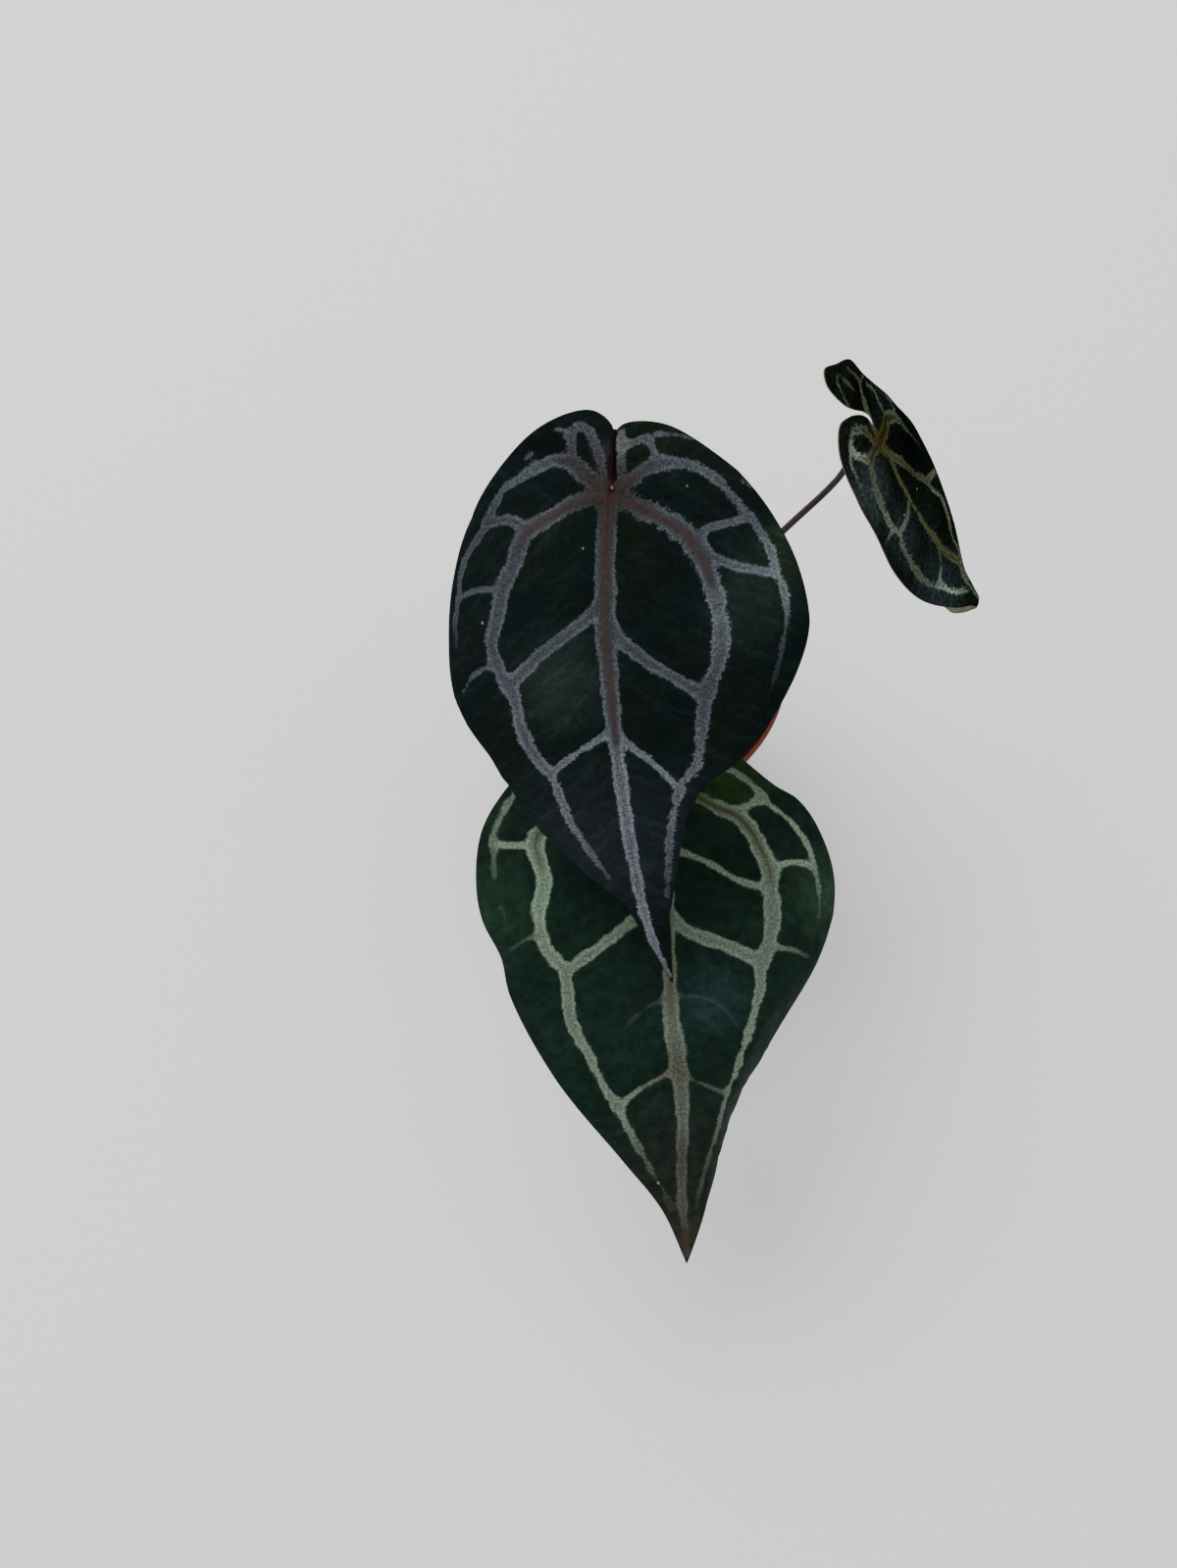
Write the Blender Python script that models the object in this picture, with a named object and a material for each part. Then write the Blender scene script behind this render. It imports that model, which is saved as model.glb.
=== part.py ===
"""A potted anthurium: three velvety heart-shaped leaves on slim stalks, rooted in a small nursery pot.

Sizes are in millimetres and angles in degrees. The origin is the middle of the pot's foot, where it
meets the table. Z is up, and the two large leaves hang over the front, towards -Y.
"""
import math
import random

import bmesh
import bpy
import numpy as np
from mathutils import Euler, Vector
from mathutils.geometry import delaunay_2d_cdt

MM = 0.001
GAP = 0.3
SEED = 7

# Pot: thin moulded plastic, a plain taper with a stepped lip and a recessed floor
POT_HEIGHT = 65.0
RIM_RADIUS = 35.0
FOOT_RADIUS = 25.0
POT_WALL = 1.0
LIP_DEPTH = 8.0
LIP_STEP = 1.2
FLOOR_RISE = 1.5
FLOOR_THICKNESS = 1.2
FOOT_RING = 2.4
HUB_RADIUS = 7.0
EDGE_ROUND = 0.5
DRAIN_HOLES = 6
DRAIN_RADIUS = 2.5
DRAIN_CIRCLE = 15.0
POT_SEGMENTS = 48
HOLE_SEGMENTS = 12

# Potting mix: fills the pot to 12 mm under the rim, with bark chunks on top
MIX_TOP = 53.0
MIX_ROUGHNESS = 0.7
MIX_RINGS = (11.7, 15.5, 20.0, 25.0)
BARK_CHUNKS = 34
BARK_SIZE = (2.4, 4.2)
BARK_WIDTH = (0.6, 0.8)
BARK_THICKNESS = (0.45, 0.6)
BARK_CORNERS = (0.88, 1.1)
BARK_TILT = 26.0
BARK_RING = (15.5, 26.0)
GOLDEN_ANGLE = 137.5

# Crown: the short upright stem that the three stalks grow from
CROWN_RADIUS = 5.4
CROWN_FOOT = 40.0
CROWN_TOP = 69.0
CROWN_SEGMENTS = 24
SCAR_STEP = 3.5
SCAR_DEPTH = 0.4
SOCKET_DEPTH = 4.0

# Root stubs: places on the way as (distance from the axis, rise over where the root lies on the mix)
ROOTS = 5
ROOT_RADIUS = 1.1
ROOT_SIDES = 6
ROOT_WAY = ((3.5, 3.6), (6.8, 2.6), (9.2, 0.7), (11.4, 0.0))
ROOT_TAPER = (1.0, 1.0, 0.9, 0.6)

# Dry sheaths that wrap the crown below the stalks, with torn points at the back
SHEATH_WALL = 0.7
SHEATH_FOOT = 61.5
SHEATH_HEIGHT = 3.5
SHEATH_FLARE = 2.6
SHEATH_POINTS = ((72.0, 9.0), (142.0, 12.0), (208.0, 8.0))
SHEATH_POINT_WIDTH = 34.0

# Leaves
BLADE = 0.8
RIB_HEIGHT = 0.9
RIB_HALF_WIDTH = 1.2
HEM_WIDTH = 4.5
LOBE_REACH = (14.0, 12.0)
EDGE_STEP = 4.0
FILL_STEP = 6.0
LEAST_STEP = 1.7

# Each blade is drawn flat, as places (across, along) from its stalk: along the midrib towards the
# tip, across to the right of it. Its surface then droops along the midrib by `turn`, and bends down
# to each side by `curl` degrees a millimetre. A hem row (along, start, angle) turns the margin down
# by the angle, from that distance off the midrib outwards.
LEAF_UPPER = {
    "stalk_at": (-4.8, -13.3, 152.6),
    "length": 101.3,
    "heading": 10.6,
    "pitch": 27.9,
    "roll": 0.0,
    "turn": 36.0,
    "hook": None,
    "bow": -5.9,
    "curl": (1.95, 0.46),
    "fold": 3.0,
    "lobe_droop": 8.0,
    "right": ((0.8, -3.1), (2.4, -8.2), (3.1, -10.4), (5.2, -11.4), (12.5, -9.8), (24.3, 0.8),
              (31.5, 9.8), (36.5, 19.5), (38.6, 30.0), (36.8, 40.0), (27.5, 57.0), (14.0, 74.5),
              (8.0, 83.0), (3.4, 89.5), (0.0, 101.3)),
    "left": ((0.8, -3.1), (1.6, -8.0), (2.1, -11.2), (-0.4, -14.2), (-4.5, -14.7), (-14.0, -11.8),
             (-28.6, 0.2), (-33.8, 12.2), (-35.4, 24.0), (-34.6, 36.3), (-27.6, 50.0), (-20.3, 62.6),
             (-11.0, 77.0), (-2.4, 88.0), (0.0, 101.3)),
    "hem_right": ((30, 30, 0), (40, 27, 18), (47, 22.6, 27), (51, 20.6, 34), (54, 18.6, 50),
                  (57, 12.5, 64), (62, 8.8, 75), (68, 6.5, 79), (76, 3.9, 79), (85, 0.5, 79), (93, 0, 62)),
    "hem_left": ((30, 28, 0), (36, 26.4, 2), (42, 23.4, 9), (48, 19.2, 20), (55, 15.7, 27),
                 (62, 13.2, 34), (68, 9, 48), (74, 5, 63), (80, 0.3, 80), (88, 0, 90), (94, 1, 65)),
    "ribs": (
        ((0.0, -1.0), (0.0, 50.0), (0.0, 96.0)),
        ((0.0, 1.0), (-12.0, 3.5), (-16.9, 9.7), (-21.3, 26.0), (-17.3, 40.8), (-10.8, 55.5),
         (-8.5, 65.0)),
        ((0.5, 1.2), (10.2, 6.8), (17.1, 14.2), (21.0, 28.6), (16.8, 42.1), (14.5, 52.2), (9.0, 61.3)),
        ((0.0, 20.0), (-12.4, 27.3), (-18.6, 33.5)),
        ((0.0, 25.5), (10.0, 33.4), (18.0, 38.5)),
        ((0.0, 42.5), (-7.2, 46.4), (-12.5, 49.5)),
        ((0.0, 44.0), (6.2, 49.9), (11.3, 56.5)),
        ((2.0, 0.0), (8.9, -3.2), (22.1, 3.6), (31.5, 17.9), (33.8, 29.0), (31.2, 38.7)),
        ((-1.0, 0.0), (-8.5, -6.6), (-23.0, 0.9), (-30.2, 11.5), (-31.6, 20.2)),
    ),
}
LEAF_LOWER = {
    "stalk_at": (3.9, -43.1, 96.8),
    "length": 103.6,
    "heading": 5.2,
    "pitch": 22.4,
    "roll": 0.0,
    "turn": 24.0,
    "hook": None,
    "bow": 1.0,
    "curl": (0.8, 0.8),
    "fold": 3.0,
    "lobe_droop": 25.0,
    "right": ((0.4, -3.2), (2.4, -8.0), (4.5, -11.0), (8.5, -11.5), (19.0, -1.2), (24.6, 4.0),
              (29.5, 7.4), (33.4, 13.6), (36.0, 24.0), (33.8, 36.2), (29.5, 47.0), (21.0, 66.0),
              (12.7, 79.3), (5.4, 89.5), (0.0, 103.6)),
    "left": ((0.4, -3.2), (-0.6, -8.0), (-1.8, -11.5), (-5.5, -13.2), (-11.0, -12.6), (-18.0, -9.0),
             (-30.8, 1.4), (-36.3, 8.9), (-38.7, 19.0), (-38.2, 27.0), (-34.8, 35.0), (-33.6, 43.0),
             (-25.5, 60.3), (-12.5, 78.6), (-5.0, 90.0), (0.0, 103.6)),
    "hem_right": ((32, 26, 0), (42, 22.7, 18), (50, 16.3, 30), (54, 13.6, 36), (59, 11, 43),
                  (68, 6.3, 54), (75, 3.8, 58), (82, 2, 57), (90, 0.5, 40), (97, 0, 15)),
    "hem_left": ((0, 40, 0),),
    "ribs": (
        ((0.0, -1.0), (0.0, 50.0), (0.0, 98.0)),
        ((0.0, 1.0), (-12.0, 3.2), (-21.0, 7.0), (-24.3, 16.1), (-25.6, 28.8), (-20.8, 37.4),
         (-21.1, 48.1), (-15.7, 61.2), (-10.2, 72.4)),
        ((0.5, 1.2), (9.1, 5.6), (17.8, 11.9), (21.5, 20.9), (20.9, 31.2), (18.1, 40.1), (15.6, 49.6),
         (9.4, 65.4)),
        ((0.0, 13.7), (9.4, 18.4), (21.0, 25.0)),
        ((0.0, 28.0), (11.1, 34.3), (18.4, 38.6)),
        ((0.0, 24.5), (-7.7, 29.1), (-20.5, 37.2)),
        ((0.0, 59.0), (-6.9, 62.3), (-13.5, 66.8)),
        ((2.0, 0.0), (9.5, -3.4), (20.5, 4.6), (29.4, 15.1), (31.3, 23.8), (31.4, 31.8)),
        ((-1.0, 0.0), (-10.0, -6.0), (-25.0, -0.5), (-33.2, 8.9), (-33.4, 18.0)),
    ),
}
LEAF_SMALL = {
    "stalk_at": (46.3, 6.7, 137.7),
    "length": 48.1,
    "heading": 65.5,
    "pitch": 54.1,
    "roll": -8.6,
    "turn": 0.0,
    "hook": (46.4, 48.4, 100.0),
    "bow": -1.9,
    "curl": (1.15, 1.15),
    "fold": 2.0,
    "lobe_droop": 0.0,
    "right": ((1.8, -2.2), (2.9, -4.6), (2.1, -6.8), (0.0, -9.7), (-1.9, -13.0), (-3.0, -19.6),
              (-1.2, -21.6), (3.1, -18.9), (8.0, -15.1), (9.4, -9.7), (15.5, 3.8), (20.3, 13.3),
              (18.6, 21.2), (15.5, 25.5), (10.2, 31.6), (3.0, 38.8), (1.7, 43.0), (0.6, 47.6),
              (0.1, 50.5), (-1.6, 54.5)),
    "left": ((1.8, -2.2), (2.1, -4.6), (1.2, -6.9), (-0.6, -9.0), (-2.3, -10.4), (-6.4, -12.2),
             (-10.4, -9.2), (-13.1, 0.1), (-13.3, 9.2), (-14.3, 19.0), (-12.7, 29.0), (-6.5, 40.5),
             (-2.8, 45.2), (-2.1, 47.4), (-3.1, 50.0), (-3.2, 52.4), (-1.6, 54.5)),
    "hem_right": ((0, 30, 0),),
    "hem_left": ((0, 30, 0),),
    "ribs": (
        ((0.0, 0.0), (0.0, 25.0), (0.0, 42.0)),
        ((0.0, 0.3), (-3.6, -0.6), (-6.8, 2.0), (-9.1, 10.2), (-8.2, 15.0), (-9.6, 24.0), (-6.3, 32.3)),
        ((0.0, 0.3), (5.0, 10.3), (9.5, 21.0), (10.3, 26.0), (4.4, 34.9)),
        ((0.0, 14.2), (-7.8, 15.2)),
        ((0.0, 28.2), (-6.9, 31.8)),
        ((0.7, -0.4), (7.4, 0.6), (12.0, 5.3), (15.9, 16.1)),
        ((1.3, -1.4), (5.0, -7.1), (5.9, -12.2)),
    ),
}

# Stalks: (across the crown, towards the back) where each stands in the crown, the places that its
# way passes above the crown, its radius at foot and top, and how far it runs square to the blade
STALK_UPPER = {
    "foot": (-2.5, 1.3),
    "way": ((-3.6, 1.6, 92.0), (-5.2, -1.4, 122.0)),
    "radius": (1.3, 0.95),
    "square_run": 7.0,
}
STALK_LOWER = {
    "foot": (0.1, -2.8),
    "way": ((0.8, -8.0, 79.5), (2.3, -24.0, 87.0)),
    "radius": (1.25, 0.95),
    "square_run": 6.0,
}
STALK_SMALL = {
    "foot": (2.5, 1.3),
    "way": ((4.6, 1.7, 76.0), (15.6, 2.4, 83.8), (30.9, 4.6, 111.5), (39.6, 5.9, 127.1)),
    "radius": (0.85, 0.65),
    "square_run": 3.0,
}
STALK_SIDES = 8
STALK_STEP = 5.0
KNEE_SWELL = 0.35
KNEE_REACH = 8.0


def material(name, colour, roughness):
    """A Principled material of one sRGB colour, given as six hex digits."""
    made = bpy.data.materials.new(name)
    made.use_nodes = True
    shader = made.node_tree.nodes["Principled BSDF"]
    channels = [int(colour[i:i + 2], 16) / 255.0 for i in (0, 2, 4)]
    linear = [c / 12.92 if c <= 0.04045 else ((c + 0.055) / 1.055) ** 2.4 for c in channels]
    shader.inputs["Base Color"].default_value = (*linear, 1.0)
    shader.inputs["Roughness"].default_value = roughness
    shader.inputs["Metallic"].default_value = 0.0
    return made


def solid(name, places, faces, finish, sharp=40.0):
    """A smooth-shaded object from places in millimetres, with creases past `sharp` degrees."""
    mesh = bpy.data.meshes.new(name)
    mesh.from_pydata([tuple(float(c) * MM for c in place) for place in places], [], faces)
    mesh.materials.append(finish)
    mesh.shade_smooth()
    mesh.set_sharp_from_angle(angle=math.radians(sharp))
    made = bpy.data.objects.new(name, mesh)
    bpy.context.scene.collection.objects.link(made)
    return made


def turned(name, profile, segments, finish):
    """A solid of revolution; the profile of (radius, height) starts and ends on the axis."""
    work = bmesh.new()
    corners = [work.verts.new((radius * MM, 0.0, height * MM)) for radius, height in profile]
    sides = [work.edges.new(pair) for pair in zip(corners, corners[1:])]
    bmesh.ops.spin(work, geom=corners + sides, cent=(0, 0, 0), axis=(0, 0, 1), angle=2 * math.pi,
                   steps=segments, use_merge=True)
    bmesh.ops.remove_doubles(work, verts=work.verts, dist=0.00001)
    bmesh.ops.recalc_face_normals(work, faces=work.faces)
    mesh = bpy.data.meshes.new(name)
    work.to_mesh(mesh)
    work.free()
    mesh.materials.append(finish)
    mesh.shade_smooth()
    mesh.set_sharp_from_angle(angle=math.radians(30))
    made = bpy.data.objects.new(name, mesh)
    bpy.context.scene.collection.objects.link(made)
    return made


def combine(body, tools, operation):
    """Fuse the tools into the body, or cut them out of it, and remove them."""
    group = bpy.data.collections.new(body.name + "_tools")
    bpy.context.scene.collection.children.link(group)
    for tool in tools:
        bpy.context.scene.collection.objects.unlink(tool)
        group.objects.link(tool)
    step = body.modifiers.new("combine", "BOOLEAN")
    step.operation = operation
    step.solver = "EXACT"
    step.operand_type = "COLLECTION"
    step.collection = group
    bpy.context.view_layer.update()
    evaluated = body.evaluated_get(bpy.context.evaluated_depsgraph_get())
    mesh = bpy.data.meshes.new_from_object(evaluated)
    body.modifiers.remove(step)
    body.data = mesh
    for tool in tools:
        bpy.data.objects.remove(tool, do_unlink=True)
    bpy.data.collections.remove(group)


def curve_through(points, step, parts=24):
    """Places about `step` apart on a smooth curve through the points (centripetal Catmull-Rom)."""
    known = np.asarray(points, float)
    known = np.vstack([2 * known[0] - known[1], known, 2 * known[-1] - known[-2]])
    u = np.linspace(0.0, 1.0, parts, endpoint=False)[:, None]
    runs = []
    for before, start, end, after in zip(known, known[1:], known[2:], known[3:]):
        spans = ((before, start), (start, end), (end, after))
        d1, d2, d3 = (math.sqrt(np.linalg.norm(b - a)) for a, b in spans)
        leave = d2 * ((start - before) / d1 - (end - before) / (d1 + d2) + (end - start) / d2)
        reach = d2 * ((end - start) / d2 - (after - start) / (d2 + d3) + (after - end) / d3)
        runs.append((2 * u**3 - 3 * u**2 + 1) * start + (u**3 - 2 * u**2 + u) * leave
                    + (3 * u**2 - 2 * u**3) * end + (u**3 - u**2) * reach)
    dense = np.vstack(runs + [known[-2][None]])
    travelled = np.concatenate([[0.0], np.cumsum(np.linalg.norm(np.diff(dense, axis=0), axis=1))])
    stops = np.linspace(0.0, travelled[-1], max(2, round(travelled[-1] / step) + 1))
    return np.stack([np.interp(stops, travelled, dense[:, i]) for i in range(known.shape[1])], axis=1)


def smooth(x):
    """A soft step from 0 to 1."""
    x = np.clip(x, 0.0, 1.0)
    return x * x * (3.0 - 2.0 * x)


def distance_to(route, places):
    """How far each flat place lies from a route of straight pieces."""
    start, end = route[:-1], route[1:]
    along = end - start
    share = ((places[:, None] - start) * along).sum(2) / (along**2).sum(1)
    nearest = start + np.clip(share, 0.0, 1.0)[..., None] * along
    return np.linalg.norm(places[:, None] - nearest, axis=2).min(1)


def inside(outline, places):
    """Which flat places lie within a closed outline."""
    x, y = places[:, 0], places[:, 1]
    within = np.zeros(len(places), bool)
    for (x0, y0), (x1, y1) in zip(outline, np.roll(outline, -1, axis=0)):
        if y0 != y1:
            crosses = ((y0 > y) != (y1 > y)) & (x < (x1 - x0) * (y - y0) / (y1 - y0) + x0)
            within ^= crosses
    return within


def blade_surface(leaf, flat, samples=20):
    """The upper surface of a blade at flat places, in its own frame: X right, -Y to the tip, Z up."""
    across, along = flat[:, 0], flat[:, 1]
    length = leaf["length"]
    steps = np.arange(0.0, along.max() + 0.5, 0.25)
    droop = np.radians(leaf["turn"]) * steps / length
    if leaf["hook"]:
        begin, end, angle = leaf["hook"]
        droop = droop + np.radians(angle) * smooth((steps - begin) / (end - begin))
    half = (droop[1:] + droop[:-1]) / 2
    forward = np.concatenate([[0.0], np.cumsum(np.cos(half) * 0.25)])
    down = np.concatenate([[0.0], np.cumsum(np.sin(half) * 0.25)])
    tilt = np.interp(along, steps, droop)
    share = np.clip(along / length, 0.0, 1.0)
    middle = leaf["bow"] * 4.0 * share * (1.0 - share)
    run = np.where(along > 0, np.interp(along, steps, forward), along)
    drop = np.interp(along, steps, down)

    off = np.abs(across)[:, None] * (np.arange(samples) + 0.5) / samples
    side = across > 0
    curl = np.radians(np.where(side, leaf["curl"][1], leaf["curl"][0]))
    slope = math.radians(leaf["fold"]) - curl[:, None] * off
    reach_back, reach_out = LOBE_REACH
    back = smooth(-along / reach_back)[:, None]
    slope -= math.radians(leaf["lobe_droop"]) * back * smooth(off / reach_out)
    for rows, here in ((leaf["hem_left"], ~side), (leaf["hem_right"], side)):
        stations, starts, angles = np.array(rows, float).T
        start = np.interp(along, stations, starts)[:, None]
        angle = np.radians(np.interp(along, stations, angles))[:, None]
        slope -= np.where(here[:, None], angle * smooth((off - start) / HEM_WIDTH), 0.0)
    outward = np.cos(slope).mean(1) * across + middle
    upward = np.sin(slope).mean(1) * np.abs(across)
    return np.stack([outward, -run - upward * np.sin(tilt), upward * np.cos(tilt) - drop], axis=1)


def blade_normal(leaf, flat):
    """Unit normals of a blade's upper surface, in its own frame."""
    tiny = 0.05
    right = blade_surface(leaf, flat + (tiny, 0.0)) - blade_surface(leaf, flat - (tiny, 0.0))
    tip = blade_surface(leaf, flat + (0.0, tiny)) - blade_surface(leaf, flat - (0.0, tiny))
    normal = np.cross(tip, right)
    return normal / np.linalg.norm(normal, axis=1)[:, None]


def rib_height(ribs, flat):
    """How far the ribs stand out under the blade at flat places; each tapers to its end."""
    height = np.zeros(len(flat))
    for rib in ribs:
        route = curve_through(rib, 1.0)
        start, end = route[0], route[-1]
        left = np.linalg.norm(flat - end, axis=1) / np.linalg.norm(end - start)
        taper = 0.45 + 0.55 * np.clip(left, 0.0, 1.0)
        here = 1.0 - distance_to(route, flat) / RIB_HALF_WIDTH
        height = np.maximum(height, RIB_HEIGHT * taper * np.clip(here, 0.0, 1.0))
    return height


def flat_blade(leaf):
    """The flat blade as places and triangles, with places set along its edge, ribs and hems."""
    right = curve_through(leaf["right"], EDGE_STEP)
    left = curve_through(leaf["left"], EDGE_STEP)
    edge = np.vstack([right, left[-2:0:-1]])
    chosen = edge

    def choose(candidates, from_edge, spacing):
        nonlocal chosen
        candidates = np.asarray(candidates, float)
        loop = np.vstack([edge, edge[:1]])
        wanted = inside(edge, candidates) & (distance_to(loop, candidates) > from_edge)
        for place in candidates[wanted]:
            if np.linalg.norm(chosen - place, axis=1).min() > spacing:
                chosen = np.vstack([chosen, place])

    for rib in leaf["ribs"]:
        choose(curve_through(rib, EDGE_STEP), LEAST_STEP, LEAST_STEP)
    for rib in leaf["ribs"]:
        middle = curve_through(rib, EDGE_STEP)
        direction = np.gradient(middle, axis=0)
        sideways = np.stack([direction[:, 1], -direction[:, 0]], axis=1)
        sideways *= RIB_HALF_WIDTH / np.linalg.norm(sideways, axis=1)[:, None]
        choose(np.vstack([middle + sideways, middle - sideways]), LEAST_STEP, 0.6 * RIB_HALF_WIDTH)
    for rows, sign in ((leaf["hem_left"], -1.0), (leaf["hem_right"], 1.0)):
        stations, starts, angles = np.array(rows, float).T
        along = np.arange(stations[0], stations[-1], EDGE_STEP)
        for share in (0.15, 0.5, 0.85):
            across = np.interp(along, stations, starts) + share * HEM_WIDTH
            choose(np.stack([sign * across, along], axis=1), LEAST_STEP, LEAST_STEP)
    low, high = edge.min(0) - FILL_STEP, edge.max(0) + FILL_STEP
    lattice = []
    for i, along in enumerate(np.arange(low[1], high[1], FILL_STEP * math.sqrt(0.75))):
        shift = FILL_STEP / 2 * (i % 2)
        lattice += [(across + shift, along) for across in np.arange(low[0], high[0], FILL_STEP)]
    choose(lattice, 0.45 * FILL_STEP, 0.62 * FILL_STEP)

    loop = [(i, (i + 1) % len(edge)) for i in range(len(edge))]
    places, _, triangles, _, _, _ = delaunay_2d_cdt([Vector(p) for p in chosen], loop, [], 1, 0.001)
    return np.array([tuple(p) for p in places]), [tuple(t) for t in triangles]


def blade(name, leaf, finish):
    """A leaf blade as one thin closed body, its faces split alike above and below, ribbed below."""
    flat, triangles = flat_blade(leaf)
    above = blade_surface(leaf, flat)
    below = above - blade_normal(leaf, flat) * (BLADE + rib_height(leaf["ribs"], flat))[:, None]
    count = len(flat)
    faces = [(a, c, b) for a, b, c in triangles]
    faces += [(a + count, b + count, c + count) for a, b, c in triangles]
    edges = {(t[i], t[(i + 1) % 3]) for t in triangles for i in range(3)}
    for a, b in sorted(edges):
        if (b, a) not in edges:
            faces.append((a, b, b + count))
            faces.append((a, b + count, a + count))
    made = solid(name, np.vstack([above, below]), faces, finish)
    made.rotation_mode = "YXZ"
    made.rotation_euler = leaf_turn(leaf)
    made.location = Vector(leaf["stalk_at"]) * MM
    return made


def leaf_turn(leaf):
    """The turn that puts a blade's own frame at its pitch, roll and heading."""
    return Euler([math.radians(a) for a in (leaf["pitch"], -leaf["roll"], leaf["heading"])], "YXZ")


def tube(name, route, radii, sides, finish):
    """A closed round rod along a route, with a radius at each of its places."""
    route = [Vector(place) for place in route]
    ways = [(b - a).normalized() for a, b in zip(route, route[1:])]
    ways = [ways[0]] + [(a + b).normalized() for a, b in zip(ways, ways[1:])] + [ways[-1]]
    side = ways[0].orthogonal().normalized()
    places = []
    for place, way, radius in zip(route, ways, radii):
        side = (side - way * side.dot(way)).normalized()
        other = way.cross(side)
        for i in range(sides):
            angle = 2 * math.pi * i / sides
            places.append(place + (side * math.cos(angle) + other * math.sin(angle)) * radius)
    rings = len(route)
    faces = [tuple(reversed(range(sides))), tuple(range((rings - 1) * sides, rings * sides))]
    for ring in range(rings - 1):
        for i in range(sides):
            j = (i + 1) % sides
            low, high = ring * sides, (ring + 1) * sides
            faces.append((low + i, low + j, high + j, high + i))
    return solid(name, places, faces, finish, 60.0)


def stalk(name, spec, leaf, finish):
    """A stalk from its socket in the crown to the underside of its blade, thicker at the knee."""
    turn = leaf_turn(leaf).to_matrix()
    up = turn @ Vector((0, 0, 1))
    under = BLADE + rib_height(leaf["ribs"], np.zeros((1, 2)))[0] + GAP
    end = Vector(leaf["stalk_at"]) - up * under
    foot_x, foot_y = spec["foot"]
    foot = (foot_x, foot_y, CROWN_TOP - SOCKET_DEPTH + GAP)
    knee = tuple(end - up * spec["square_run"])
    route = curve_through([foot, (foot_x, foot_y, CROWN_TOP), *spec["way"], knee, tuple(end)], STALK_STEP)
    to_end = np.linalg.norm(route - np.array(end), axis=1)
    foot_radius, top_radius = spec["radius"]
    radii = top_radius + (foot_radius - top_radius) * np.linspace(1.0, 0.0, len(route))
    radii += KNEE_SWELL * foot_radius * smooth(1.0 - to_end / KNEE_REACH)
    return tube(name, route, radii, STALK_SIDES, finish)


def pot_wall(height):
    """Outer radius of the pot's tapered wall at a height."""
    return FOOT_RADIUS + (RIM_RADIUS - LIP_STEP - FOOT_RADIUS) * height / POT_HEIGHT


def pot(finish):
    """The nursery pot: one thin turned shell with drain holes through its recessed floor."""
    lip = POT_HEIGHT - LIP_DEPTH
    floor = FLOOR_RISE + FLOOR_THICKNESS
    inner_lip = lip + 0.8 * POT_WALL
    profile = [
        (0, 0), (HUB_RADIUS, 0), (HUB_RADIUS + 1, FLOOR_RISE), (FOOT_RADIUS - FOOT_RING - 1, FLOOR_RISE),
        (FOOT_RADIUS - FOOT_RING, 0), (FOOT_RADIUS - EDGE_ROUND, 0), (pot_wall(EDGE_ROUND), EDGE_ROUND),
        (pot_wall(lip), lip), (RIM_RADIUS - EDGE_ROUND, lip + 0.4),
        (RIM_RADIUS, POT_HEIGHT - EDGE_ROUND), (RIM_RADIUS - POT_WALL / 3, POT_HEIGHT),
        (RIM_RADIUS - POT_WALL, POT_HEIGHT - EDGE_ROUND),
        (RIM_RADIUS - EDGE_ROUND - POT_WALL, inner_lip + EDGE_ROUND),
        (pot_wall(inner_lip) - POT_WALL, inner_lip), (pot_wall(floor + 1) - POT_WALL, floor + 1),
        (pot_wall(floor) - POT_WALL - 1, floor), (0, floor),
    ]
    made = turned("pot", profile, POT_SEGMENTS, finish)
    drills = []
    bore = [(0, -1), (DRAIN_RADIUS, -1), (DRAIN_RADIUS, floor + 1), (0, floor + 1)]
    for i in range(DRAIN_HOLES):
        angle = 2 * math.pi * (i + 0.5) / DRAIN_HOLES
        drill = turned("drill", bore, HOLE_SEGMENTS, finish)
        drill.location = Vector((math.cos(angle), math.sin(angle), 0)) * DRAIN_CIRCLE * MM
        drills.append(drill)
    combine(made, drills, "DIFFERENCE")
    return made


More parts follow.
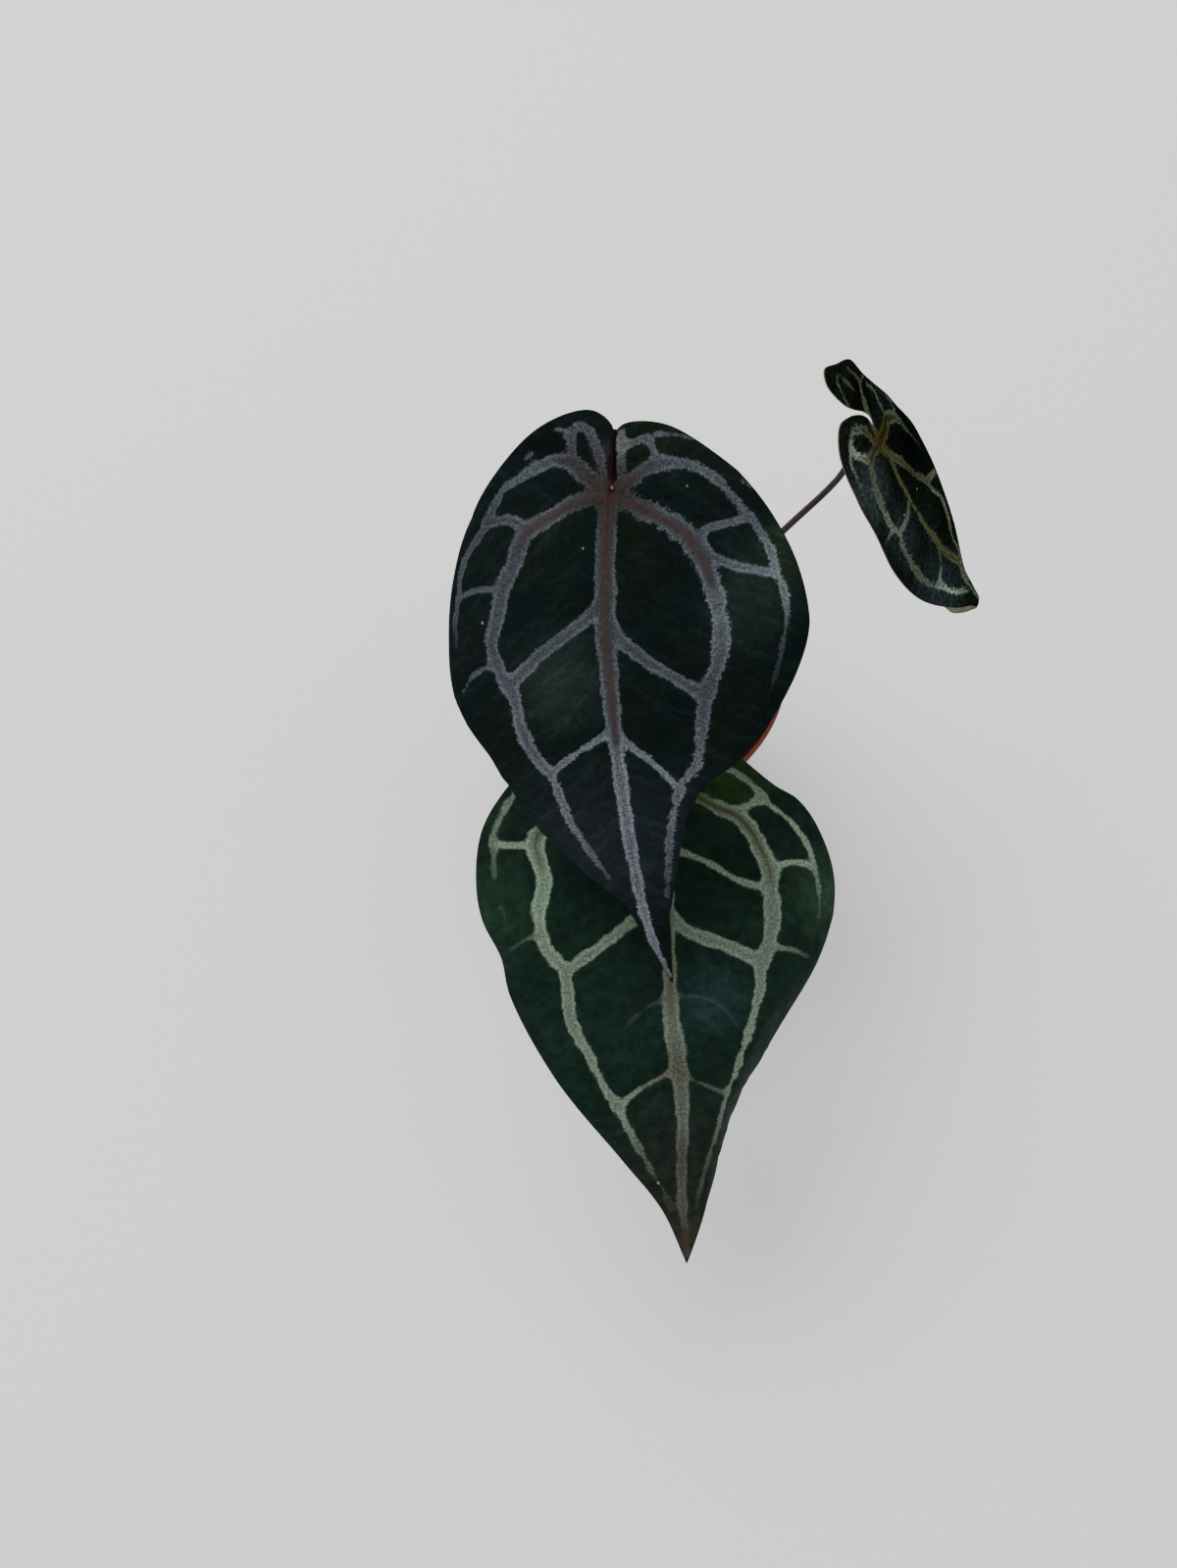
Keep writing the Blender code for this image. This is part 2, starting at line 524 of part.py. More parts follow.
def potting_mix(finish):
    """The mix: a filling with a rough top, a hole for the crown, and bark chunks half sunk in it."""
    floor = FLOOR_RISE + FLOOR_THICKNESS + GAP
    hole = CROWN_RADIUS + GAP
    wall = pot_wall(MIX_TOP) - POT_WALL - GAP
    profile = [(0, floor), (pot_wall(floor) - POT_WALL - 1.5, floor),
               (pot_wall(floor + 1.5) - POT_WALL - GAP, floor + 1.5), (wall, MIX_TOP)]
    profile += [(radius, MIX_TOP) for radius in reversed(MIX_RINGS)]
    profile += [(hole, MIX_TOP), (hole, CROWN_FOOT - GAP), (0, CROWN_FOOT - GAP)]
    made = turned("potting_mix", profile, POT_SEGMENTS, finish)
    draw = random.Random(SEED)
    for vertex in made.data.vertices:
        radius = math.hypot(vertex.co.x, vertex.co.y) / MM
        if vertex.co.z > (MIX_TOP - 0.1) * MM and MIX_RINGS[0] + 1 < radius < wall - 1:
            vertex.co.z += draw.uniform(-MIX_ROUGHNESS, MIX_ROUGHNESS) * MM
    chunks = []
    for i in range(BARK_CHUNKS):
        work = bmesh.new()
        bmesh.ops.create_icosphere(work, subdivisions=1, radius=draw.uniform(*BARK_SIZE) * MM)
        flat = (1.0, draw.uniform(*BARK_WIDTH), draw.uniform(*BARK_THICKNESS))
        bmesh.ops.scale(work, vec=flat, verts=work.verts)
        for vertex in work.verts:
            vertex.co *= draw.uniform(*BARK_CORNERS)
        mesh = bpy.data.meshes.new("chunk")
        work.to_mesh(mesh)
        work.free()
        chunk = bpy.data.objects.new("chunk", mesh)
        bpy.context.scene.collection.objects.link(chunk)
        angle = i * math.radians(GOLDEN_ANGLE) + draw.uniform(-0.2, 0.2)
        radius = BARK_RING[0] + (BARK_RING[1] - BARK_RING[0]) * math.sqrt((i + 0.5) / BARK_CHUNKS)
        chunk.location = Vector((math.cos(angle) * radius, math.sin(angle) * radius, MIX_TOP - 0.2)) * MM
        tilt = math.radians(BARK_TILT)
        turn = draw.uniform(0, math.pi)
        chunk.rotation_euler = (draw.uniform(-tilt, tilt), draw.uniform(-tilt, tilt), turn)
        chunks.append(chunk)
    combine(made, chunks, "UNION")
    return made


def crown(finish):
    """The crown: a stem ringed by old leaf scars, with root stubs and a socket for each stalk."""
    profile = [(0, CROWN_FOOT), (CROWN_RADIUS - 1.2, CROWN_FOOT), (CROWN_RADIUS - 0.3, CROWN_FOOT + 3)]
    height = CROWN_FOOT + SCAR_STEP * 4
    while height < CROWN_TOP - 1.5:
        profile += [(CROWN_RADIUS - SCAR_DEPTH, height), (CROWN_RADIUS, height + SCAR_STEP * 0.7)]
        height += SCAR_STEP
    profile += [(CROWN_RADIUS - 0.5, CROWN_TOP), (0, CROWN_TOP)]
    made = turned("crown", profile, CROWN_SEGMENTS, finish)
    roots = []
    rest = MIX_TOP + GAP + ROOT_RADIUS
    for i in range(ROOTS):
        angle = 2 * math.pi * (i + 0.3) / ROOTS
        out = Vector((math.cos(angle), math.sin(angle), 0))
        way = [out * radius + Vector((0, 0, rest + rise)) for radius, rise in ROOT_WAY]
        radii = [ROOT_RADIUS * share for share in ROOT_TAPER]
        roots.append(tube("root", way, radii, ROOT_SIDES, finish))
    combine(made, roots, "UNION")
    sockets = []
    for spec in (STALK_UPPER, STALK_LOWER, STALK_SMALL):
        radius = spec["radius"][0] * 1.05 + GAP
        bore = [(0, -SOCKET_DEPTH), (radius, -SOCKET_DEPTH), (radius, 2), (0, 2)]
        socket = turned("socket", bore, HOLE_SEGMENTS, finish)
        socket.location = Vector((*spec["foot"], CROWN_TOP)) * MM
        sockets.append(socket)
    combine(made, sockets, "DIFFERENCE")
    return made


def cataphylls(finish):
    """Dry sheaths round the crown, fused at the foot, torn to three points that flare at the back."""
    around, levels = 36, 4
    inner = CROWN_RADIUS + GAP + 0.1
    places = []
    for wall in (SHEATH_WALL, 0.0):
        for level in range(levels + 1):
            for i in range(around):
                azimuth = 360.0 * i / around
                tall = SHEATH_HEIGHT
                for point, height in SHEATH_POINTS:
                    tall += height * max(0.0, 1.0 - abs(azimuth - point) / SHEATH_POINT_WIDTH) ** 1.3
                share = level / levels
                rise = tall * share
                radius = inner + wall + SHEATH_FLARE * (rise / 12.0) ** 2
                angle = math.radians(azimuth)
                places.append((radius * math.cos(angle), radius * math.sin(angle), SHEATH_FOOT + rise))
    faces = []
    layer = (levels + 1) * around
    for level in range(levels):
        for i in range(around):
            j = (i + 1) % around
            low, high = level * around, (level + 1) * around
            faces.append((low + i, low + j, high + j, high + i))
            faces.append((layer + low + i, layer + high + i, layer + high + j, layer + low + j))
    top = levels * around
    for i in range(around):
        j = (i + 1) % around
        faces.append((i, layer + i, layer + j, j))
        faces.append((top + i, top + j, layer + top + j, layer + top + i))
    return solid("cataphylls", places, faces, finish)


def build():
    """All pieces, each under the empty that stands for the whole plant."""
    for old in list(bpy.data.objects):
        bpy.data.objects.remove(old, do_unlink=True)
    velvet_dark = material("leaf_dark", "1b2422", 0.55)
    velvet_green = material("leaf_green", "20362c", 0.55)
    velvet_young = material("leaf_young", "232e29", 0.5)
    stalk_green = material("stalk_green", "6b5a45", 0.45)
    stalk_purple = material("stalk_purple", "4a3236", 0.4)
    pieces = [
        pot(material("pot_plastic", "9a4a33", 0.5)),
        potting_mix(material("mix", "2b211b", 0.95)),
        crown(material("crown", "6a6244", 0.6)),
        cataphylls(material("sheath", "8a6a45", 0.8)),
        stalk("petiole_upper", STALK_UPPER, LEAF_UPPER, stalk_green),
        stalk("petiole_lower", STALK_LOWER, LEAF_LOWER, stalk_green),
        stalk("petiole_small", STALK_SMALL, LEAF_SMALL, stalk_purple),
        blade("leaf_upper", LEAF_UPPER, velvet_dark),
        blade("leaf_lower", LEAF_LOWER, velvet_green),
        blade("leaf_small", LEAF_SMALL, velvet_young),
    ]
    plant = bpy.data.objects.new("plant", None)
    bpy.context.scene.collection.objects.link(plant)
    for piece in pieces:
        piece.parent = plant


build()
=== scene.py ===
"""Looks for a potted anthurium: velvety heart-shaped blades with silver veins, in a small nursery pot.

The scene is in metres, in the frame of the CAD model. Drawing sizes are in millimetres and angles in
degrees. A blade is drawn flat, as places (across, along) from its stalk, and then bent to its pose.

A leaf table holds the place of its stalk, its length, the turn of the midrib over that length, a hook of
the tip (begin, end, angle), the bow to one side, the curl of each side in degrees a millimetre, the fold
at the midrib, the droop of the lobes, the outline from notch to tip on each side, and the hems as (along,
where the margin begins to roll, how far it rolls).
"""

import functools
import math

import bmesh
import bpy
import numpy as np
from mathutils import Euler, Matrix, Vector
from mathutils.geometry import delaunay_2d_cdt


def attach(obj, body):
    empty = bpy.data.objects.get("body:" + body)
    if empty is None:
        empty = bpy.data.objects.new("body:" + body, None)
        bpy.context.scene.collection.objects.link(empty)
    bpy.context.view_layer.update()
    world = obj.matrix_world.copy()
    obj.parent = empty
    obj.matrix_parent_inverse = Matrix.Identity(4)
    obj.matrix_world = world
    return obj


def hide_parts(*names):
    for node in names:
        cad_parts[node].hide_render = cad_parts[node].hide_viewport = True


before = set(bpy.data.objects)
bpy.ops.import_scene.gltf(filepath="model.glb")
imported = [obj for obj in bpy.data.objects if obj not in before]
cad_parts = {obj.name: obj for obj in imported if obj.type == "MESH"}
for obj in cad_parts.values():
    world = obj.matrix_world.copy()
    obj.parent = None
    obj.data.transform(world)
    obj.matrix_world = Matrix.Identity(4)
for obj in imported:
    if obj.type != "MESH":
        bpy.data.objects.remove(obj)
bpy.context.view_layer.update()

MM = 0.001
SEED = 11

# Blades: thin at the margin, quilted between the veins, with ribs underneath
BLADE = 0.5
MARGIN_ROUND = 0.5
MARGIN_FLAT = 2.5
HEM_WIDTH = 4.5
LOBE_REACH = (14.0, 12.0)
GRID = 0.42
MIDRIB_STEP = 0.25
QUILT = 0.42
QUILT_REACH = 1.9
MIDLINE_RISE = 0.1
BLADE_SWELLS = ((9.0, 0.12), (4.5, 0.07), (2.2, 0.03))
RIB_HEIGHT = 0.85
RIB_REACH = 1.6
RIB_END = 1.5
FOLD_STEP = 0.4
FOLD_THICKNESS = 0.25
STROKE_SLANT = math.radians(34.0)

# What a blade keeps for its finish, and how far from a vein or the margin it is worked out
BLADE_FIELDS = ("vein", "core", "clear", "fray", "margin")
FAR = 9.0

# Crown, roots and sheaths, as in the CAD model
CROWN_RADIUS = 5.4
CROWN_FOOT = 40.0
CROWN_TOP = 69.0
CROWN_SIDES = 96
CROWN_RING_STEP = 0.35
CROWN_KNOBS = ((5.0, 0.14), (2.0, 0.1), (1.0, 0.05))
SHOULDER_ROUND = 1.5
SHOULDER_SHARES = (0.88, 0.76, 0.64, 0.52, 0.4, 0.3, 0.2, 0.1, 0.01)
SCAR_STEP = 3.5
SCAR_RISE = 0.45
SCAR_PLACE = 0.85
SCAR_WIDTH = 0.07
SCAR_DEPTH = 0.25
SOCKET_DEPTH = 4.0
ROOTS = 5
ROOT_RADIUS = 1.1
ROOT_SIDES = 16
ROOT_WAY = ((3.5, 3.6), (6.8, 2.6), (9.2, 0.7), (11.4, 0.0))
ROOT_DIVE = ((13.4, -1.6), (14.8, -3.6))
ROOT_BENDS = (0.0, 0.3, 0.6, 0.2, -0.5, -1.0)
SHEATH_WALL = 0.7
SHEATH_FOOT = 61.5
SHEATH_HEIGHT = 3.5
SHEATH_FLARE = 2.6
SHEATH_POINTS = ((72.0, 9.0), (142.0, 12.0), (208.0, 8.0))
SHEATH_POINT_WIDTH = 34.0
SHEATH_RADIUS = 6.0
SHEATH_SIDES = 216
SHEATH_LEVELS = 34
SHEATH_THICKNESS = 0.32
SHEATH_TEARS = ((3.0, 0.4), (1.1, 0.45), (0.5, 0.25))
SHEATH_CRUMPLE = ((5.0, 0.3), (2.2, 0.14))
FIBRES = 22
FIBRE_RADIUS = 0.11

# Pot and mix
POT_HEIGHT = 65.0
RIM_RADIUS = 35.0
FOOT_RADIUS = 25.0
POT_WALL = 1.0
LIP_DEPTH = 8.0
LIP_STEP = 1.2
BEAD_DEPTH = 2.4
BEAD_OUT = 0.35
FLOOR_RISE = 1.5
FLOOR_THICKNESS = 1.2
FOOT_RING = 2.4
HUB_RADIUS = 7.0
DRAIN_HOLES = 6
DRAIN_RADIUS = 2.5
DRAIN_CIRCLE = 15.0
DRAIN_SIDES = 36
POT_SIDES = 160
TAPER = (RIM_RADIUS - LIP_STEP - FOOT_RADIUS) / POT_HEIGHT
MIX_TOP = 53.0
MIX_CLEARANCE = 0.3
MIX_SIDES = 168
CRUMB_RING = (7.0, 28.5)
GOLDEN_ANGLE = 137.5
MIX_SWELLS = ((11.0, 0.5), (5.0, 0.35), (2.4, 0.3), (1.2, 0.2))
COIR_FIBRES = 26
COIR_RADIUS = 0.13
DROP_SAG = 0.45

# Stalks: foot on the crown, way above it, radius at foot and top, and the run square to the blade
STALK_UPPER = {
    "foot": (-2.5, 1.3),
    "way": ((-3.6, 1.6, 92.0), (-5.2, -1.4, 122.0)),
    "radius": (1.3, 0.95),
    "square_run": 7.0,
}
STALK_LOWER = {
    "foot": (0.1, -2.8),
    "way": ((0.8, -8.0, 79.5), (2.3, -24.0, 87.0)),
    "radius": (1.25, 0.95),
    "square_run": 6.0,
}
STALK_SMALL = {
    "foot": (2.5, 1.3),
    "way": ((4.6, 1.7, 76.0), (15.6, 2.4, 83.8), (30.9, 4.6, 111.5), (39.6, 5.9, 127.1)),
    "radius": (0.85, 0.65),
    "square_run": 3.0,
}
STALK_SIDES = 28
KNEE_SWELL = 0.35
KNEE_REACH = 8.0
CREASE_STEP = 1.5
CREASE_DEPTH = 0.05
STALK_GAP = 0.45
STALK_STEP = 0.7
CLASP_FOOT = 0.35
CLASP_TOP = 0.25

# Studio, in metres
FLOOR_HALF = 2.5
LIGHT_SIZE = (0.9, 0.7)
LIGHT_WATTS = 11.0
LIGHT_AT = (-0.35, 0.35, 0.95)
LIGHT_AIM = (0.0, -0.03, 0.1)
LENS = 45.03
SENSOR = 36.0
CAMERA_AT = (-0.0087, -0.2088, 0.4476)
CAMERA_ELEVATION = 65.0


def pairs(*numbers):
    """Flat places from a row of numbers: across, along, across, along."""
    return list(zip(numbers[::2], numbers[1::2]))


def vein(width, route, line=(0,), clear=(1,), fray=0.3):
    """One silver vein: its route, and the widths of its band and core line and its clearness along it."""
    return {"route": pairs(*route), "width": width, "line": line, "clear": clear, "fray": fray}


# Upper blade: the largest, nearly black, with a red-brown line down its midrib
LEAF_UPPER = {
    "stalk_at": (-4.8, -13.3, 152.6),
    "length": 101.3,
    "heading": 10.6,
    "pitch": 27.9,
    "roll": 0,
    "turn": 36,
    "hook": None,
    "bow": -5.9,
    "curl": (1.95, 0.46),
    "fold": 3,
    "lobe_droop": 8,
    "right": pairs(0.6, -0.9, 1.4, -1.7, 1.6, -3.4, 2.3, -8.2, 2.8, -10.2, 4.8, -11.3, 12.5, -9.8,
        24.3, 0.8, 31.5, 9.8, 36.5, 19.5, 38.6, 30, 36.8, 40, 27.5, 57, 14, 74.5, 8, 83, 3.4, 89.5,
        0, 101.3),
    "left": pairs(0.6, -0.9, 0, -1.9, 0.4, -3.6, 1.8, -8, 2.2, -11.2, -0.4, -14.2, -4.5, -14.7, -14, -11.8,
        -28.6, 0.2, -33.8, 12.2, -35.4, 24, -34.6, 36.3, -27.6, 50, -20.3, 62.6, -11, 77, -2.4, 88,
        0, 101.3),
    "hem_right": ((30, 30, 0), (40, 27, 18), (47, 22.6, 27), (51, 20.6, 34), (54, 18.6, 50), (57, 12.5, 64),
        (62, 8.8, 75), (68, 6.5, 79), (76, 3.9, 79), (85, 0.5, 79), (93, 0, 62)),
    "hem_left": ((30, 28, 0), (36, 26.4, 2), (42, 23.4, 9), (48, 19.2, 20), (55, 15.7, 27), (62, 13.2, 34),
        (68, 9, 48), (74, 5, 63), (80, 0.3, 80), (88, 0, 90), (94, 1, 65)),
    "veins": (
        vein((3.5, 3.7, 3.8, 3.6, 2.5, 2.6, 2.5, 2, 1.5, 1.1), (0, -0.5, -0.3, 6, -0.4, 15, -0.4, 25, 0, 36,
            0, 60, -0.5, 76, -0.6, 90, 0, 99), line=(0.9, 0.65, 0.55, 0.5, 0.4) + (0,) * 6),
        vein((3, 3, 3.2, 3.7, 3.6, 2.8, 2.9, 2.6, 2.5, 1.8, 1.3, 1.1, 0.6), (0, 1, -6, 1.3, -11.8, 3.4,
            -15.4, 5.4, -17.5, 9.9, -19.8, 14.8, -21.1, 20, -22.4, 26, -20.4, 30.9, -18.5, 34.5,
            -17.5, 40.8, -15.4, 46.4, -12.6, 50.4, -11.4, 55.4, -10.4, 60.2, -8.5, 65.1, -6.8, 69.4,
            -5.4, 73), line=(0.35, 0.3, 0.15) + (0,) * 8, clear=(1,) * 7 + (0.8, 0.3), fray=0.4),
        vein((2.8, 2.5, 2.2, 2.6, 2.8), (0, 18, -2, 20.8, -6.8, 24, -12.4, 27.4, -18.9, 32.6)),
        vein((1.5, 1.3, 1.2, 1.5), (0, 42, -1.5, 43.4, -7.2, 46.4, -12, 49.6)),
        vein((2.7, 3.1, 3.6, 3.7, 3.2, 3.3, 3.1, 2.5, 2, 1.5, 1.1, 1, 0.6), (0.6, 1.3, 4.7, 3.4, 10.2, 6.8,
            14.3, 10, 17.1, 14.2, 19.2, 19.1, 20.5, 24.6, 21.1, 28.6, 20.2, 33.7, 17.9, 38, 16.8, 42.1,
            16, 46.9, 14.5, 52.2, 11, 56.1, 9, 61.3, 7, 67.7, 5.4, 74.2, 4.6, 79), line=(0.25, 0.35, 0.45,
            0.2) + (0,) * 8, clear=(1,) * 6 + (0.9, 0.6, 0.3), fray=0.6),
        vein((2.8, 2.4, 1.9, 2.1, 2.6), (0, 23.9, 4.8, 29.5, 10, 33.8, 15.1, 37.7, 17.6, 39.4)),
        vein((1.6, 1.2, 1.1, 1.3), (0.4, 44.1, 2.3, 46.2, 6.2, 50.4, 10.8, 56.8)),
        vein((2.2, 2.9, 2.5, 1.8, 1.3, 1.3, 1.7, 1.3, 1.3, 1.1, 1, 0.6), (0.6, 0.4, 4.7, -1.5, 8.9, -3.2,
            14.2, -2.4, 17.8, -0.3, 22.1, 3.6, 25.5, 7.9, 26.7, 9.3, 29.5, 13, 31.5, 17.9, 33.5, 24.2,
            33.7, 29, 32.7, 33.5, 31.2, 38.7, 29.9, 42.5), line=(0.15, 0.12) + (0,) * 10, clear=(1,) * 6 +
            (0.9, 0.5, 0.1), fray=0.4),
        vein((1.8, 1.4, 1.5), (16.2, 11.4, 18, 9.5, 21, 9.1, 25.9, 8.8)),
        vein((2, 1.5, 1.5), (17.4, 13.4, 19.2, 14.6, 24.1, 17.1, 31.1, 19.5)),
        vein((1.9, 1.6, 1.3), (1.3, 0, 2.6, -4.6, 3.7, -9.7), fray=0.4),
        vein((1.3, 1.2, 1.3), (3.2, -7.6, 5.4, -7.7, 7.7, -8, 8.8, -5.5, 9, -3.2)),
        vein((1, 0.8, 0.4), (8.2, -7.9, 9.8, -8.4, 13.7, -7.8, 16.3, -6.8), clear=(1, 0.8, 0.5)),
        vein((2.2, 3.4, 2.2, 2, 1.4, 1.7, 1.7, 1.6, 1.5, 1.6, 0.8), (-0.7, 0.2, -3.6, -2.9, -6.3, -5.9,
            -10.4, -6.7, -15.6, -5, -19.9, -3.4, -23.4, 0.7, -24.7, 3, -28, 6, -30.7, 11.4, -31.5, 16.5,
            -32.1, 20.2, -32, 25), line=(0.15, 0.12) + (0,) * 10, clear=(1,) * 5 + (0.9, 0.7, 0.2),
            fray=0.35),
        vein((2, 2, 2.3), (-23.8, 2, -20, 2, -17.6, 2.8, -14.6, 4.6)),
        vein((1, 0.9, 1.1), (-30.9, 15.4, -27.4, 14.4, -24.4, 14.2, -19.8, 14.9), clear=(0.8,)),
        vein((0.8, 1.1, 1.4), (-30.6, 34.2, -29.7, 33.2, -26.9, 30.5, -21.4, 28.4), clear=(0.5, 0.9)),
        vein((1.5, 1.7, 1.3, 1.3, 1.7, 1.2, 1.3), (-5.9, -6.3, -5.6, -8.4, -5.5, -10.2, -4.4, -11.9,
            -2.2, -11.2, -1.3, -8.3, -0.7, -4.6, -0.6, -1.4), fray=0.4),
        vein((0.9, 0.5), (-5.5, -10.4, -6.4, -11.6, -7.9, -12.2)),
        vein((0.8, 0.3), (-13.2, -8.9, -14.4, -8.3), clear=(0.6,)),
        vein((0.8, 0.4), (24.3, 1.9, 26.6, 3.4), clear=(0.5,)),
    ),
}

# Lower blade: greener, in front of the upper one and partly under it
LEAF_LOWER = {
    "stalk_at": (3.9, -43.1, 96.8),
    "length": 103.6,
    "heading": 5.2,
    "pitch": 22.4,
    "roll": 0,
    "turn": 24,
    "hook": None,
    "bow": 1,
    "curl": (0.8, 0.8),
    "fold": 3,
    "lobe_droop": 25,
    "right": pairs(0.4, -3.2, 2.4, -8, 4.5, -11, 8.5, -11.5, 19, -1.2, 24.6, 4, 29.5, 7.4, 33.4, 13.6,
        36, 24, 33.8, 36.2, 29.5, 47, 21, 66, 12.7, 79.3, 5.4, 89.5, 0, 103.6),
    "left": pairs(0.4, -3.2, -0.6, -8, -1.8, -11.5, -5.5, -13.2, -11, -12.6, -18, -9, -30.8, 1.4,
        -36.3, 8.9, -38.7, 19, -38.2, 27, -34.8, 35, -33.6, 43, -25.5, 60.3, -12.5, 78.6, -5, 90, 0, 103.6),
    "hem_right": ((32, 26, 0), (42, 22.7, 18), (50, 16.3, 30), (54, 13.6, 36), (59, 11, 43), (68, 6.3, 54),
        (75, 3.8, 58), (82, 2, 57), (90, 0.5, 40), (97, 0, 15)),
    "hem_left": ((0, 40, 0),),
    "veins": (
        vein((3.2, 2.6, 2.4, 1.8, 3, 3.7, 2.8, 2.1, 1.7, 1.3), (0, -0.5, 0, 20, 0, 34, -0.8, 43, -0.9, 50,
            -0.2, 58, 0.1, 66, -0.3, 76, -0.7, 85, -0.5, 93, 0, 101), line=(1.2, 1.1, 0.9, 0.6, 0.2) + (0,)
            * 5),
        vein((2.3, 2.5, 3.5, 3.6, 2.8, 1.8, 1.2, 1, 0.8, 0.4), (0.6, 1.3, 4.6, 3.2, 9.1, 5.6, 12, 7.6,
            15.4, 9.3, 17.8, 11.9, 20, 16.4, 21.4, 20.9, 21.3, 26.1, 21.2, 31.3, 19.2, 37.2, 17.8, 40.3,
            17.6, 44.1, 15.7, 49.6, 13.6, 55.1, 11.6, 60.6, 9.6, 65.4, 7.5, 72.5, 5.4, 79.2, 3.3, 84.3,
            1.7, 94.6), line=(1, 0.8, 0.6) + (0,) * 7, clear=(1,) * 7 + (0.9, 0.7, 0.2), fray=0.45),
        vein((1.8, 1.2, 1.2, 1.6), (0, 12.5, 1.3, 14.2, 3.8, 15.5, 9.4, 18.6, 13.7, 21.7, 19.6, 24.5)),
        vein((2.4, 2.4, 2.6, 2.7), (0.2, 27.6, 3.3, 31.3, 10.8, 35, 18.2, 39)),
        vein((0.9, 0.5, 0.4), (-0.5, 60, 3.5, 62.6, 8.4, 65.2, 9.6, 65.6), clear=(0.8, 0.4, 0.5)),
        vein((2.6, 3, 3.4, 3.3, 2.5, 2.4, 2, 1.6, 1.2, 0.5), (0, 1, -8, 2, -15.5, 4, -21.5, 7.4,
            -24.8, 11.5, -24.3, 16.1, -23.8, 19.1, -25.1, 23.6, -25.6, 28.8, -24.5, 33.8, -21.5, 37.4,
            -21.3, 40.8, -21.1, 48.1, -18.2, 55.3, -15.9, 61.1, -13.2, 66.2, -10.6, 72.2, -7.5, 79.3,
            -4.8, 84.9, -3.2, 89.8), line=(1, 0.8, 0.5) + (0,) * 7, clear=(1,) * 8 + (0.7, 0.2), fray=0.45),
        vein((2.6, 2.3, 2.1, 2.5), (0, 24, -7.7, 29.1, -14.3, 33.5, -20.6, 37.6)),
        vein((1.6, 1.1, 1, 1.2), (-0.4, 58.4, -1.8, 59.9, -6.9, 62.3, -13.4, 66.8)),
        vein((2.2, 1.8, 1.7, 1.6, 1.4, 1.3, 0.9), (-0.7, 0.2, -4, -3.6, -9, -6.4, -17, -5.6, -25, -1,
            -29.8, 3.7, -33.2, 8.9, -33.9, 13, -34.4, 18), clear=(1, 1, 0.9, 0.7, 0.2)),
        vein((1.3, 1.3, 1.6), (-33.6, 11.2, -30, 11.9, -26.9, 12, -24.4, 12.4)),
        vein((0.6, 0.4), (-33.6, 24.4, -33, 26.2), clear=(0.1,)),
        vein((1, 0.7), (-25, 30.2, -28.6, 31, -32.4, 33.2), clear=(0.5, 0.1)),
        vein((2, 1.7, 1.4, 1.1, 1, 1, 0.9, 0.6), (0.6, 0.4, 4.4, -2, 9.5, -3.6, 15.7, 0.3, 18, 2, 20.8, 4.8,
            23.1, 7.9, 26.7, 11.2, 29.4, 15.1, 31, 18.9, 31.5, 22.6, 31.9, 27.3, 31.4, 31.8), clear=(1, 1,
            0.9, 0.8, 0.9, 0.9, 0.2)),
        vein((1.6, 1.5, 1.8), (15.4, 9.3, 18.4, 7.8, 21.4, 6.6)),
        vein((1.4, 1.2, 1.3), (21.6, 21.4, 24.4, 20.2, 27, 20, 30.8, 21.2)),
        vein((1.3, 0.9, 0.6), (19.6, 36.2, 22.3, 37, 25.6, 38, 28.2, 39.7), clear=(1, 0.6, 0.2)),
        vein((1.3, 1), (0.9, 0, 1.9, -4.6, 4.2, -9.2), clear=(1, 0.8)),
        vein((1.3, 1), (-0.6, -0.8, -1.6, -5.6, -4.6, -10.4), clear=(1, 0.8)),
        vein((1.2, 0.8), (9.6, -3.6, 9, -7, 6.6, -9.4), clear=(0.9, 0.6)),
        vein((1.2, 0.8), (-9.6, -6.4, -9.4, -9.4, -7, -11.4), clear=(0.9, 0.6)),
        vein((0.7, 0.5), (-1, 44.4, -5, 45.8, -9, 48.6, -13, 53), clear=(0.2, 0.05)),
        vein((0.7, 0.5), (1.3, 44.4, 5.6, 45.2, 9.4, 47.6, 12, 51.6), clear=(0.2, 0.05)),
    ),
}

